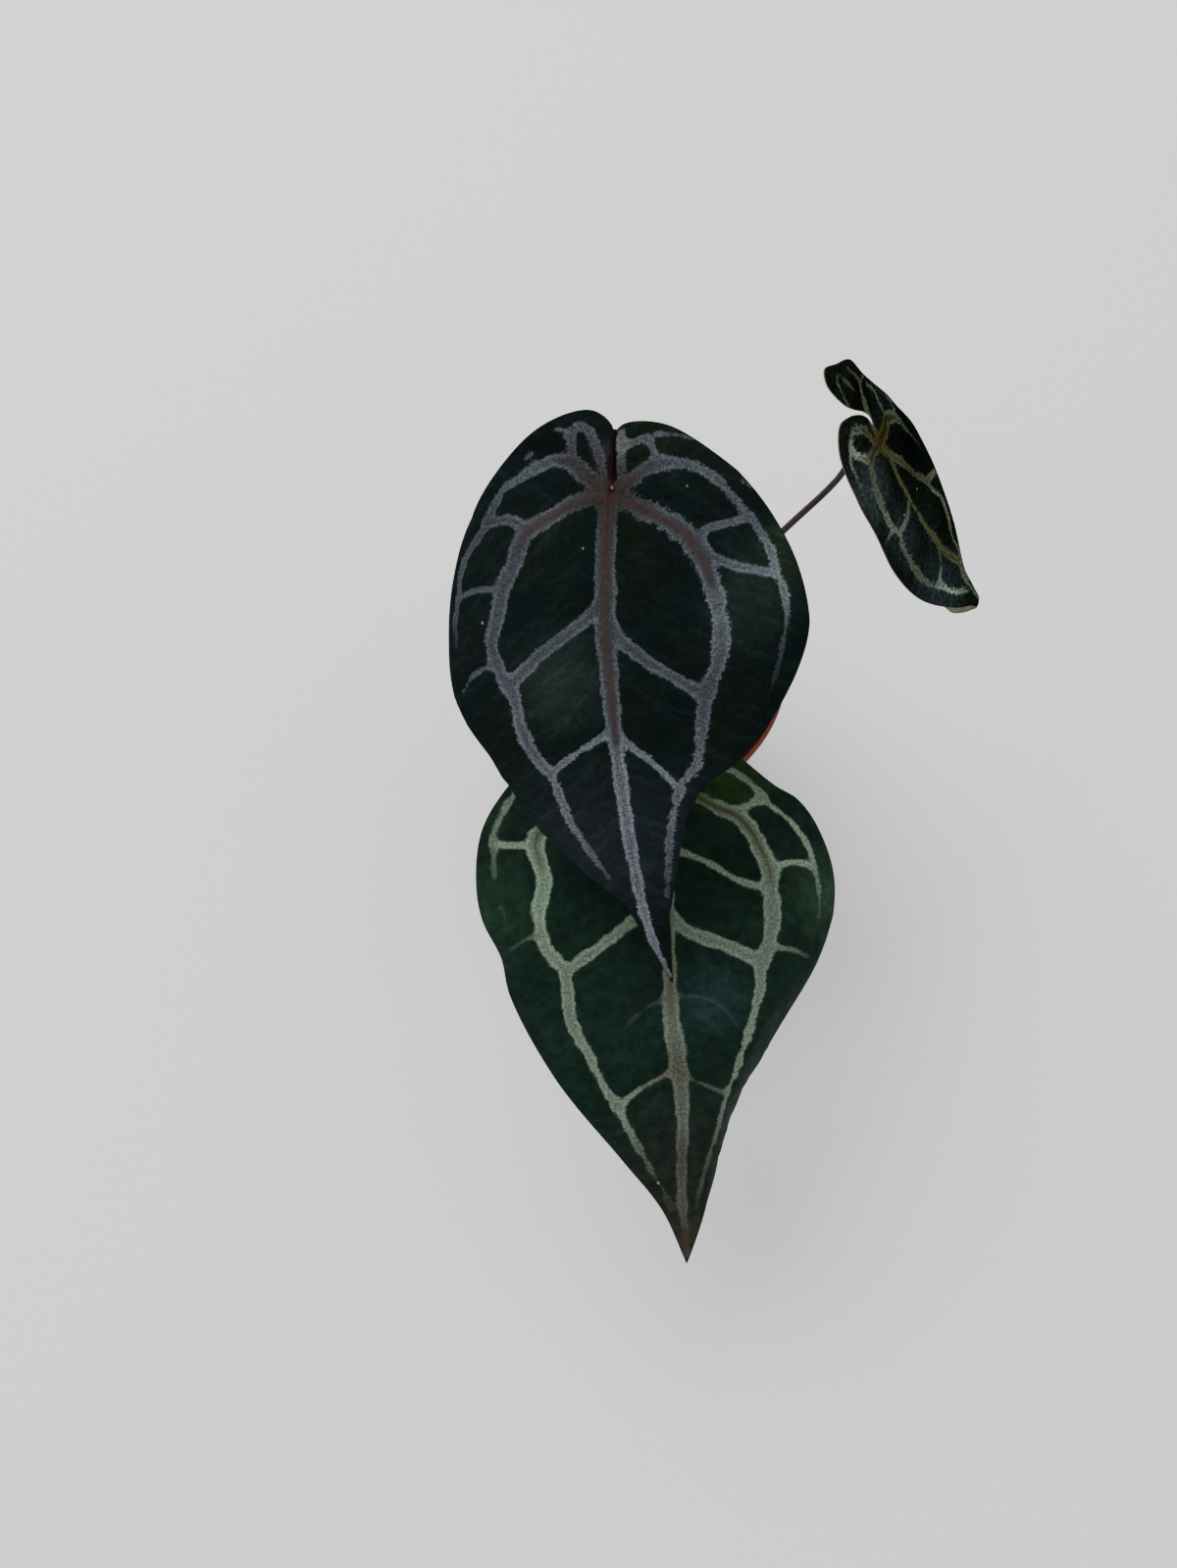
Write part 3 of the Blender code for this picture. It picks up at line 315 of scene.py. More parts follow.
# Small blade: young, turned away to the right, its drip tip folded under
LEAF_SMALL = {
    "stalk_at": (46.3, 6.7, 137.7),
    "length": 48.1,
    "heading": 65.5,
    "pitch": 54.1,
    "roll": -8.6,
    "turn": 0,
    "hook": (46.4, 48.4, 100),
    "bow": -1.9,
    "curl": (1.15, 1.15),
    "fold": 2,
    "lobe_droop": 0,
    "right": pairs(1.8, -2.2, 2.9, -4.6, 2.1, -6.8, 0, -9.7, -1.9, -13, -3, -19.6, -1.2, -21.6, 3.1, -18.9,
        8, -15.1, 9.4, -9.7, 15.5, 3.8, 20.3, 13.3, 18.6, 21.2, 15.5, 25.5, 10.2, 31.6, 3, 38.8, 1.7, 43,
        0.6, 47.6, 0.1, 50.5, -1.6, 54.5),
    "left": pairs(1.8, -2.2, 2.1, -4.6, 1.2, -6.9, -0.6, -9, -2.3, -10.4, -6.4, -12.2, -10.4, -9.2,
        -13.1, 0.1, -13.3, 9.2, -14.3, 19, -12.7, 29, -6.5, 40.5, -2.8, 45.2, -2.1, 47.4, -3.1, 50,
        -3.2, 52.4, -1.6, 54.5),
    "hem_right": ((0, 30, 0),),
    "hem_left": ((0, 30, 0),),
    "veins": (
        vein((2.2, 1.3, 0.9, 0.9, 1.3, 2, 2.1, 1.2, 0.4), (0.2, -0.1, 0.7, 1.9, 1.4, 4.2, 0.9, 7.2,
            0.3, 11.7, 0, 14.6, 0.3, 18.6, 0.1, 21.9, 0.3, 25.9, 0.4, 28.6, 1.2, 32.2, 2, 36.3, 1.1, 39.6,
            0.3, 43.6, 0, 47.4), line=(0.3, 0.25, 0.2, 0.2, 0.15, 0.1, 0), fray=0.4),
        vein((1.6, 1.6, 1.5, 1.3, 1, 0.7), (0.2, -0.1, 1, 2.1, 3.2, 6.5, 5, 10.3, 6.8, 14.3, 8.9, 18.4,
            9.5, 21, 10.8, 25, 9.5, 27.5, 7.4, 29.8, 5.4, 32.3, 4.4, 34.9, 2.6, 37.4)),
        vein((1.3, 1.6, 1.2), (8.9, 18.4, 12.8, 20.7, 15.4, 22.2)),
        vein((2.4, 3, 1.6, 0.8, 0.4), (0.7, -0.4, 3.8, 0.2, 7.4, 0.6, 10.7, 3.1, 12, 5.3, 13.4, 8.5,
            15, 12.3, 15.9, 16.1), clear=(1, 1, 0.8, 0.5, 0.4)),
        vein((1.1, 0.7), (7.4, 0.6, 7.7, -1.6, 7.8, -3.8, 8.6, -5.7, 7.9, -8.5), clear=(0.9, 0.7)),
        vein((0.8, 0.6), (11.6, 3.5, 12.7, 0.5, 12.1, -1.6), clear=(0.8, 0.6)),
        vein((1.8, 1.4, 1), (1, -0.6, 1.3, -2.4, 2.6, -5.6, 3.6, -8.1, 4.6, -9.8, 5.9, -11.1)),
        vein((0.9, 0.5), (5.9, -11.1, 5.9, -13.2, 5, -15.7), clear=(0.9, 0.6)),
        vein((0.8, 0.5), (5.9, -11.1, 8.3, -10.2), clear=(0.8,)),
        vein((0.7, 0.6), (-1.2, -11.8, -1, -14.3, -0.6, -16.5, -0.2, -17.9, 1.8, -17.4, 2, -15.9,
            2.7, -12.2), clear=(0.7,)),
        vein((1.6, 1.4, 1.3, 1.2, 1.2, 1.3), (-0.7, -1.3, -0.9, -2.9, -0.9, -4.6, -2.3, -6.4, -4.4, -8.4,
            -5.9, -8.2, -7.3, -7.6, -7.6, -6.2, -6.8, -4.3, -5.5, -2, -4.1, -0.7), fray=0.65),
        vein((2.3, 1.9, 1.4, 1.1, 1.3, 1.4, 1, 0.9, 0.6), (-0.9, -0.4, -3.6, -0.6, -5.2, 0, -6.8, 2,
            -7.8, 4.7, -8.6, 7.6, -9.1, 10.2, -8.5, 12.9, -7.9, 15, -8.8, 16.2, -9.3, 18.4, -9.6, 20.9,
            -9.5, 24, -9.6, 26.3, -8.9, 28.8, -8.1, 30.5, -6.3, 32.3, -5.8, 34.6, -4.3, 37.8, -2.4, 40.4,
            -0.8, 42.4), fray=0.6),
        vein((1, 1, 1.4), (-0.2, 13.8, -2.3, 14.9, -4.1, 15.1, -7.8, 14.8)),
        vein((1, 0.9, 1.1), (0.3, 27, -2.5, 30.4, -5.3, 31.6, -7.2, 31.8)),
        vein((0.7, 0.7, 0.6), (-7.7, -6.9, -9.4, -5.6, -10.5, -2.7, -11, -0.2, -10.5, 1.2, -8, 3),
            clear=(0.8, 0.5, 0.6)),
        vein((0.8, 0.4), (-9.3, 12.5, -10.6, 12.3, -11.9, 12.3), clear=(0.9, 0.5)),
    ),
}



def travel(route):
    """How far each place of a route lies along it."""
    return np.concatenate([[0.0], np.cumsum(np.linalg.norm(np.diff(route, axis=0), axis=1))])


def angles_round(count):
    """Evenly spaced angles round a circle."""
    return np.arange(count) * 2 * math.pi / count


def curve_through(points, step, parts=24):
    """Places about `step` apart on a smooth curve through the points (centripetal Catmull-Rom)."""
    known = np.asarray(points, float)
    known = np.vstack([2 * known[0] - known[1], known, 2 * known[-1] - known[-2]])
    u = np.linspace(0.0, 1.0, parts, endpoint=False)[:, None]
    runs = []
    for before, start, end, after in zip(known, known[1:], known[2:], known[3:]):
        spans = ((before, start), (start, end), (end, after))
        d1, d2, d3 = (math.sqrt(np.linalg.norm(b - a)) for a, b in spans)
        leave = d2 * ((start - before) / d1 - (end - before) / (d1 + d2) + (end - start) / d2)
        reach = d2 * ((end - start) / d2 - (after - start) / (d2 + d3) + (after - end) / d3)
        runs.append((2 * u**3 - 3 * u**2 + 1) * start + (u**3 - 2 * u**2 + u) * leave
                    + (3 * u**2 - 2 * u**3) * end + (u**3 - u**2) * reach)
    dense = np.vstack(runs + [known[-2][None]])
    travelled = travel(dense)
    stops = np.linspace(0.0, travelled[-1], max(2, round(travelled[-1] / step) + 1))
    return np.stack([np.interp(stops, travelled, dense[:, i]) for i in range(known.shape[1])], axis=1)


def smooth(x):
    """A soft step from 0 to 1."""
    x = np.clip(x, 0.0, 1.0)
    return x * x * (3.0 - 2.0 * x)


def nearest_on(route, places):
    """How far each flat place lies from a route, and the share of the route at its nearest place."""
    start, end = route[:-1], route[1:]
    along = end - start
    share = ((places[:, None] - start) * along).sum(2) / (along**2).sum(1)
    share = np.clip(share, 0.0, 1.0)
    gap = np.linalg.norm(places[:, None] - start - share[..., None] * along, axis=2)
    best = gap.argmin(1)
    rows = np.arange(len(places))
    return gap[rows, best], (best + share[rows, best]) / len(start)


def inside(outline, places):
    """Which flat places lie within a closed outline."""
    x, y = places[:, 0], places[:, 1]
    within = np.zeros(len(places), bool)
    for (x0, y0), (x1, y1) in zip(outline, np.roll(outline, -1, axis=0)):
        if y0 != y1:
            crosses = ((y0 > y) != (y1 > y)) & (x < (x1 - x0) * (y - y0) / (y1 - y0) + x0)
            within ^= crosses
    return within


def blade_surface(leaf, flat, samples=20):
    """The surface of a blade at flat places, in its own frame: X right, -Y to the tip, Z up."""
    across, along = flat[:, 0], flat[:, 1]
    length = leaf["length"]
    steps = np.arange(0.0, along.max() + 2 * MIDRIB_STEP, MIDRIB_STEP)
    droop = np.radians(leaf["turn"]) * steps / length
    if leaf["hook"]:
        begin, end, angle = leaf["hook"]
        droop = droop + np.radians(angle) * smooth((steps - begin) / (end - begin))
    half = (droop[1:] + droop[:-1]) / 2
    forward = np.concatenate([[0.0], np.cumsum(np.cos(half) * MIDRIB_STEP)])
    down = np.concatenate([[0.0], np.cumsum(np.sin(half) * MIDRIB_STEP)])
    tilt = np.interp(along, steps, droop)
    share = np.clip(along / length, 0.0, 1.0)
    middle = leaf["bow"] * 4.0 * share * (1.0 - share)
    run = np.where(along > 0, np.interp(along, steps, forward), along)
    drop = np.interp(along, steps, down)

    off = np.abs(across)[:, None] * (np.arange(samples) + 0.5) / samples
    side = across > 0
    curl = np.radians(np.where(side, leaf["curl"][1], leaf["curl"][0]))
    slope = math.radians(leaf["fold"]) - curl[:, None] * off
    reach_back, reach_out = LOBE_REACH
    back = smooth(-along / reach_back)[:, None]
    slope -= math.radians(leaf["lobe_droop"]) * back * smooth(off / reach_out)
    for rows, here in ((leaf["hem_left"], ~side), (leaf["hem_right"], side)):
        stations, starts, angles = np.array(rows, float).T
        start = np.interp(along, stations, starts)[:, None]
        angle = np.radians(np.interp(along, stations, angles))[:, None]
        slope -= np.where(here[:, None], angle * smooth((off - start) / HEM_WIDTH), 0.0)
    outward = np.cos(slope).mean(1) * across + middle
    upward = np.sin(slope).mean(1) * np.abs(across)
    return np.stack([outward, -run - upward * np.sin(tilt), upward * np.cos(tilt) - drop], axis=1)


def blade_normal(leaf, flat):
    """Unit normals of a blade's upper surface, in its own frame."""
    tiny = 0.05
    right = blade_surface(leaf, flat + (tiny, 0.0)) - blade_surface(leaf, flat - (tiny, 0.0))
    tip = blade_surface(leaf, flat + (0.0, tiny)) - blade_surface(leaf, flat - (0.0, tiny))
    normal = np.cross(tip, right)
    return normal / np.linalg.norm(normal, axis=1)[:, None]


def vein_fields(veins, flat, web):
    """At flat places: distance past the nearest band's edge and core line's edge, clearness and fray."""
    edge = np.full(len(flat), FAR)
    core = np.full(len(flat), FAR)
    weight = np.full(len(flat), 1e-9)
    clear = np.zeros(len(flat))
    fray = np.zeros(len(flat))
    for each in veins:
        route = curve_through(each["route"], 1.0)
        low, high = route.min(0) - FAR, route.max(0) + FAR
        near = np.flatnonzero(((flat > low) & (flat < high)).all(1))
        gap, share = nearest_on(route, flat[near])

        def at(values):
            stations = np.linspace(0.0, 1.0, len(values))
            return np.interp(share, stations, values) if len(values) > 1 else values[0]

        past = gap - at(each["width"]) / 2
        blend = np.clip(0.5 + (past - edge[near]) / (2 * web), 0.0, 1.0)
        edge[near] = past * (1 - blend) + edge[near] * blend - web * blend * (1 - blend)
        line = at(each["line"])
        missing = np.clip(1.0 - line / 0.15, 0.0, 1.0)
        core[near] = np.minimum(core[near], gap - line / 2 + 3.0 * missing)
        pull = np.exp(-np.clip(past, -1.0, 8.0) * 3.0)
        weight[near] += pull
        clear[near] += pull * at(each["clear"])
        fray[near] += pull * each["fray"]
    return edge, core, clear / weight, fray / weight


def flat_blade(leaf):
    """The flat blade as places, triangles, distance to the margin, and the row of margin places."""
    right = curve_through(leaf["right"], GRID)
    left = curve_through(leaf["left"], GRID)
    margin = np.vstack([right, left[-2:0:-1]])
    loop = np.vstack([margin, margin[:1]])
    low, high = margin.min(0), margin.max(0)
    rows = []
    for i, along in enumerate(np.arange(low[1], high[1], GRID * math.sqrt(0.75))):
        across = np.arange(low[0], high[0], GRID) + GRID / 2 * (i % 2)
        rows.append(np.stack([across, np.full(len(across), along)], axis=1))
    lattice = np.vstack(rows)
    lattice = lattice[inside(margin, lattice)]
    to_margin = np.full(len(lattice), FAR)
    for first in range(0, len(loop) - 1, 20):
        piece = loop[first:first + 21]
        near = np.flatnonzero(((lattice > piece.min(0) - 3) & (lattice < piece.max(0) + 3)).all(1))
        if len(near):
            to_margin[near] = np.minimum(to_margin[near], nearest_on(piece, lattice[near])[0])
    keep = to_margin > 0.45 * GRID
    chosen = np.vstack([margin, lattice[keep]])
    edges = [(i, (i + 1) % len(margin)) for i in range(len(margin))]
    places, _, triangles, _, _, _ = delaunay_2d_cdt([Vector(p) for p in chosen], edges, [], 1, 0.0001)
    if len(places) != len(chosen):
        raise ValueError("the margin of a blade crosses itself")
    to_margin = np.concatenate([np.zeros(len(margin)), to_margin[keep]])
    return chosen, np.array([tuple(t) for t in triangles]), to_margin


def swells(flat, seed, layers):
    """Smooth uneven heights: for each (wavelength, amount), four crossing sets of bent waves."""
    draw = np.random.default_rng(seed)
    height = np.zeros(len(flat))
    for size, amount in layers:
        for turn in draw.uniform(0.0, math.pi, 4):
            phase, bend = draw.uniform(0.0, 2 * math.pi, 2)
            way = flat[:, 0] * math.cos(turn) + flat[:, 1] * math.sin(turn)
            cross = flat[:, 1] * math.cos(turn) - flat[:, 0] * math.sin(turn)
            bent = phase + 0.8 * np.sin(cross / size + bend)
            height += amount / 2 * np.sin(way * 2 * math.pi / size + bent)
    return height


def relief(flat, edge, core, seed):
    """Height of the upper face over the drawn surface: cells swell between sunken veins."""
    height = QUILT * (1.0 - np.exp(-np.clip(edge + 0.3, 0.0, None) / QUILT_REACH))
    height += MIDLINE_RISE * np.exp(-(np.clip(core, 0.0, None) / 0.5) ** 2)
    return height + swells(flat, seed, BLADE_SWELLS)


def leaf_turn(leaf):
    """The turn that puts a blade's own frame at its pitch, roll and heading."""
    return Euler([math.radians(a) for a in (leaf["pitch"], -leaf["roll"], leaf["heading"])], "YXZ")


def in_scene(leaf, places):
    """Places in a blade's own frame, moved to the scene, still in millimetres."""
    turn = np.array(leaf_turn(leaf).to_matrix())
    return places @ turn.T + np.array(leaf["stalk_at"])


def mesh_object(name, places, faces, materials, sharp=None):
    """A smooth-shaded object from places in millimetres."""
    mesh = bpy.data.meshes.new(name)
    mesh.from_pydata((np.asarray(places, float) * MM).tolist(), [], faces)
    for material in materials:
        mesh.materials.append(material)
    mesh.shade_smooth()
    if sharp:
        mesh.set_sharp_from_angle(angle=math.radians(sharp))
    made = bpy.data.objects.new(name, mesh)
    bpy.context.scene.collection.objects.link(made)
    return made


def put(made, node=None):
    """Hangs a piece on the plant, in place of a CAD node where it has one."""
    if node:
        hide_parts(node)
    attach(made, "root")
    return made


def store(mesh, name, values):
    """Keeps one number, or one vector, for each place of a mesh."""
    values = np.asarray(values, np.float32)
    kind, field = ("FLOAT", "value") if values.ndim == 1 else ("FLOAT_VECTOR", "vector")
    mesh.attributes.new(name, kind, "POINT").data.foreach_set(field, values.ravel())


def blade(name, node, leaf, materials, web, seed):
    """A leaf blade: quilted above, ribbed below, with its vein net stored for the finish."""
    flat, triangles, to_margin = flat_blade(leaf)
    edge, core, clear, fray = vein_fields(leaf["veins"], flat, web)
    normal = blade_normal(leaf, flat)
    middle = blade_surface(leaf, flat)
    thin = np.sqrt(1.0 - (1.0 - np.clip(to_margin / MARGIN_ROUND, 0.08, 1.0)) ** 2)
    rise = relief(flat, edge, core, seed) * smooth(to_margin / MARGIN_FLAT)
    rib = RIB_HEIGHT * smooth(0.5 - edge / RIB_REACH) * np.clip(clear, 0.0, 1.0)
    rib *= smooth(to_margin / RIB_END)
    above = middle + normal * (rise - BLADE * 0.5 * (1.0 - thin))[:, None]
    below = middle - normal * (BLADE * (0.5 + 0.5 * thin) + rib - rise * 0.6)[:, None]
    count = len(flat)
    sides = np.concatenate([triangles[:, [0, 1]], triangles[:, [1, 2]], triangles[:, [2, 0]]])
    present = {(a, b) for a, b in sides.tolist()}
    rim = [(a, b) for a, b in present if (b, a) not in present]
    faces = triangles[:, [0, 2, 1]].tolist() + (triangles + count).tolist()
    faces += [(a, b, b + count, a + count) for a, b in sorted(rim)]
    made = mesh_object(name, in_scene(leaf, np.vstack([above, below])), faces, materials)
    under = np.zeros(len(faces), np.int32)
    under[len(triangles):2 * len(triangles)] = 1
    made.data.polygons.foreach_set("material_index", under)
    store(made.data, "flat", np.hstack([np.vstack([flat, flat]), np.zeros((2 * count, 1))]))
    for label, values in zip(BLADE_FIELDS, (edge, core, clear, fray, to_margin)):
        store(made.data, label, np.concatenate([values, values]))
    return put(made, node)


def loft(name, rings, finish, sharp=None, extra=None):
    """A closed skin over rings of equally many places, with any numbers to keep for each place."""
    rings = [np.asarray(ring, float) for ring in rings]
    count, last = len(rings[0]), (len(rings) - 1) * len(rings[0])
    faces = [tuple(reversed(range(count))), tuple(range(last, last + count))]
    for low in range(0, last, count):
        for i in range(count):
            j = (i + 1) % count
            faces.append((low + i, low + j, low + count + j, low + count + i))
    made = mesh_object(name, np.vstack(rings), faces, [finish], sharp)
    for label, values in (extra or {}).items():
        store(made.data, label, values)
    return made


def around(count):
    """Unit ways round the upright axis."""
    angles = angles_round(count)
    return np.stack([np.cos(angles), np.sin(angles), np.zeros(count)], axis=1)


def spoke(angle):
    """Unit ways out from the upright axis, and round it, at an angle."""
    out = np.array([math.cos(angle), math.sin(angle), 0.0])
    return out, np.array([-out[1], out[0], 0.0])


def turned(name, profile, count, finish, sharp=35.0):
    """A solid of revolution from a profile of (radius, height) that starts and ends near the axis."""
    ways = around(count)
    rings = [ways * radius + (0.0, 0.0, height) for radius, height in profile]
    return loft(name, rings, finish, sharp)


def rounded(corners, parts=5):
    """A profile through (radius, height, fillet) corners, with a curve in place of each corner."""
    path = [np.array(corners[0][:2], float)]
    for before, corner, after in zip(corners, corners[1:], corners[2:]):
        here = np.array(corner[:2], float)
        back, on = np.array(before[:2]) - here, np.array(after[:2]) - here
        back_length, on_length = np.linalg.norm(back), np.linalg.norm(on)
        start = here + back / back_length * min(corner[2], back_length * 0.45)
        end = here + on / on_length * min(corner[2], on_length * 0.45)
        for u in np.linspace(0.0, 1.0, parts):
            path.append((1 - u) ** 2 * start + 2 * u * (1 - u) * here + u * u * end)
    return path + [np.array(corners[-1][:2], float)]


def cut(body, tools):
    """Cuts the tools out of the body, and removes them."""
    group = bpy.data.collections.new("tools")
    bpy.context.scene.collection.children.link(group)
    for tool in tools:
        bpy.context.scene.collection.objects.unlink(tool)
        group.objects.link(tool)
    step = body.modifiers.new("cut", "BOOLEAN")
    step.operation = "DIFFERENCE"
    step.solver = "EXACT"
    step.operand_type = "COLLECTION"
    step.collection = group
    bpy.context.view_layer.update()
    mesh = bpy.data.meshes.new_from_object(body.evaluated_get(bpy.context.evaluated_depsgraph_get()))
    body.modifiers.remove(step)
    body.data = mesh
    for tool in tools:
        bpy.data.objects.remove(tool, do_unlink=True)
    bpy.data.collections.remove(group)


def rod(name, route, radii, sides, finish, reach=1.0):
    """A closed rod along a route; `radii` holds one radius a place, or one a place and side.

    Each place keeps `skin`, where it lies on the unrolled skin in millimetres, and `way`, its share
    of the length. `reach` stretches that share where the rod is only a part of something longer.
    """
    route = np.asarray(route, float)
    ways = np.gradient(route, axis=0)
    ways /= np.linalg.norm(ways, axis=1)[:, None]
    travelled = travel(route)
    angles = angles_round(sides)
    radii = np.asarray(radii, float)
    radii = np.broadcast_to(radii if radii.ndim == 2 else radii[:, None], (len(route), sides))
    side = np.cross(ways[0], (0.31, 0.82, 0.48))
    rings, skin = [], []
    for place, way, radius, gone in zip(route, ways, radii, travelled):
        side = side - way * side.dot(way)
        side /= np.linalg.norm(side)
        other = np.cross(way, side)
        first, second = np.cos(angles), np.sin(angles)
        rings.append(place + (np.outer(first, side) + np.outer(second, other)) * radius[:, None])
        skin.append(np.stack([first * radius, second * radius, np.full(sides, gone)], axis=1))
    share = np.repeat(travelled / travelled[-1] * reach, sides)
    return loft(name, rings, finish, 60.0, {"skin": np.vstack(skin), "way": share})


def joined(name, parts):
    """Several pieces made into one object."""
    with bpy.context.temp_override(active_object=parts[0], selected_editable_objects=parts):
        bpy.ops.object.join()
    parts[0].name = name
    return parts[0]


def sheet(name, grid, depth, finish, ring=False, extra=None):
    """A thin closed sheet under a grid of places; `ring` joins its last column to its first."""
    rows, columns = grid.shape[:2]
    over = np.roll(grid, -1, axis=1) - np.roll(grid, 1, axis=1) if ring else np.gradient(grid, axis=1)
    normal = np.cross(over, np.gradient(grid, axis=0))
    normal /= np.maximum(np.linalg.norm(normal, axis=2), 1e-12)[..., None]
    places = np.vstack([grid.reshape(-1, 3), (grid - normal * depth).reshape(-1, 3)])
    layer = rows * columns
    faces = []
    for row in range(rows - 1):
        for column in range(columns if ring else columns - 1):
            a, b = row * columns + column, row * columns + (column + 1) % columns
            c, d = b + columns, a + columns
            faces += [(a, b, c, d), (layer + a, layer + d, layer + c, layer + b)]
    rim = [(row * columns, (row + 1) * columns) for row in range(rows - 1)]
    rim += [((row + 2) * columns - 1, (row + 1) * columns - 1) for row in range(rows - 1)]
    ends = [] if ring else rim
    for column in range(columns if ring else columns - 1):
        nearby = (column + 1) % columns
        ends += [(nearby, column), ((rows - 1) * columns + column, (rows - 1) * columns + nearby)]
    faces += [(a, b, layer + b, layer + a) for a, b in ends]
    made = mesh_object(name, places, faces, [finish], 50.0)
    for label, values in (extra or {}).items():
        store(made.data, label, np.concatenate([values, values]))
    store(made.data, "layer", np.repeat([0.0, 1.0], layer))
    return made


# Short names for the nodes used here: kind of node and its fixed settings
NODES = {
    "grain": ("TexNoise", {}),
    "cells": ("TexVoronoi", {}),
    "step": ("MapRange", {"interpolation_type": "SMOOTHSTEP"}),
    "over": ("Mix", {"data_type": "RGBA"}),
    "laid": ("Mapping", {"vector_type": "TEXTURE"}),
    "plus": ("Math", {"operation": "ADD"}),
    "minus": ("Math", {"operation": "SUBTRACT"}),
    "times": ("Math", {"operation": "MULTIPLY"}),
    "shade": ("VectorMath", {"operation": "SCALE"}),
    "mirror": ("VectorMath", {"operation": "ABSOLUTE"}),
    "length": ("VectorMath", {"operation": "LENGTH"}),
    "away": ("VectorMath", {"operation": "DISTANCE"}),
    "facing": ("VectorMath", {"operation": "DOT_PRODUCT"}),
}
PLACES = ("flat", "skin", "chip")


def colour(code):
    """Linear RGBA of an sRGB colour given as six hex digits."""
    channels = [int(code[i:i + 2], 16) / 255.0 for i in (0, 2, 4)]
    return (*[c / 12.92 if c <= 0.04045 else ((c + 0.055) / 1.055) ** 2.4 for c in channels], 1.0)


def add_node(tree, kind, *values, out=None, **settings):
    """Adds a node, fills its live inputs in turn with numbers, hex colours or links, and gives one output.

    A grain takes waves a millimetre, detail and roughness. A step goes softly from 0 to 1, or between
    the two last numbers, as its value goes from low to high. A laid pattern takes its turn and the
    size in millimetres of one unit. One colour goes over another by a share.
    """
    kind, fixed = NODES.get(kind, (kind, {}))
    made = tree.nodes.new("ShaderNode" + kind)
    for key, value in (*fixed.items(), *settings.items()):
        setattr(made, key, value)
    for socket, value in zip([socket for socket in made.inputs if socket.enabled], values):
        if isinstance(value, bpy.types.NodeSocket):
            tree.links.new(value, socket)
        elif value is not None:
            socket.default_value = colour(value) if isinstance(value, str) else value
    return made.outputs[out] if out else next(socket for socket in made.outputs if socket.enabled)


def new_finish(name, labels, **sockets):
    """A material with its constant sockets, the way to add its nodes, and what the mesh keeps by label."""
    made = bpy.data.materials.new(name)
    made.use_nodes = True
    for key, value in sockets.items():
        made.node_tree.nodes["Principled BSDF"].inputs[key.replace("_", " ")].default_value = value
    add = functools.partial(add_node, made.node_tree)
    kept = [add("Attribute", out="Vector" if label in PLACES else "Fac", attribute_name=label)
            for label in labels]
    return made, add, *kept


def dressed(made, add, tone, height=None, depth=0.0, strength=0.0, roughness=None):
    """Gives a finish its colour, its roughness and a fine relief of `depth` millimetres."""
    normal = None if height is None else add("Bump", strength, depth * MM, None, height)
    shader = made.node_tree.nodes["Principled BSDF"]
    for key, socket in (("Base Color", tone), ("Roughness", roughness), ("Normal", normal)):
        if socket is not None:
            made.node_tree.links.new(socket, shader.inputs[key])
    return made


def tinted(add, place, base, tints):
    """A colour with patches of others: (code, across, along, reach, amount)."""
    for code, across, along, reach, amount in tints:
        away = add("away", place, (across, along, 0.0))
        base = add("over", add("step", away, reach, 0.0, 0.0, amount), base, code)
    return base


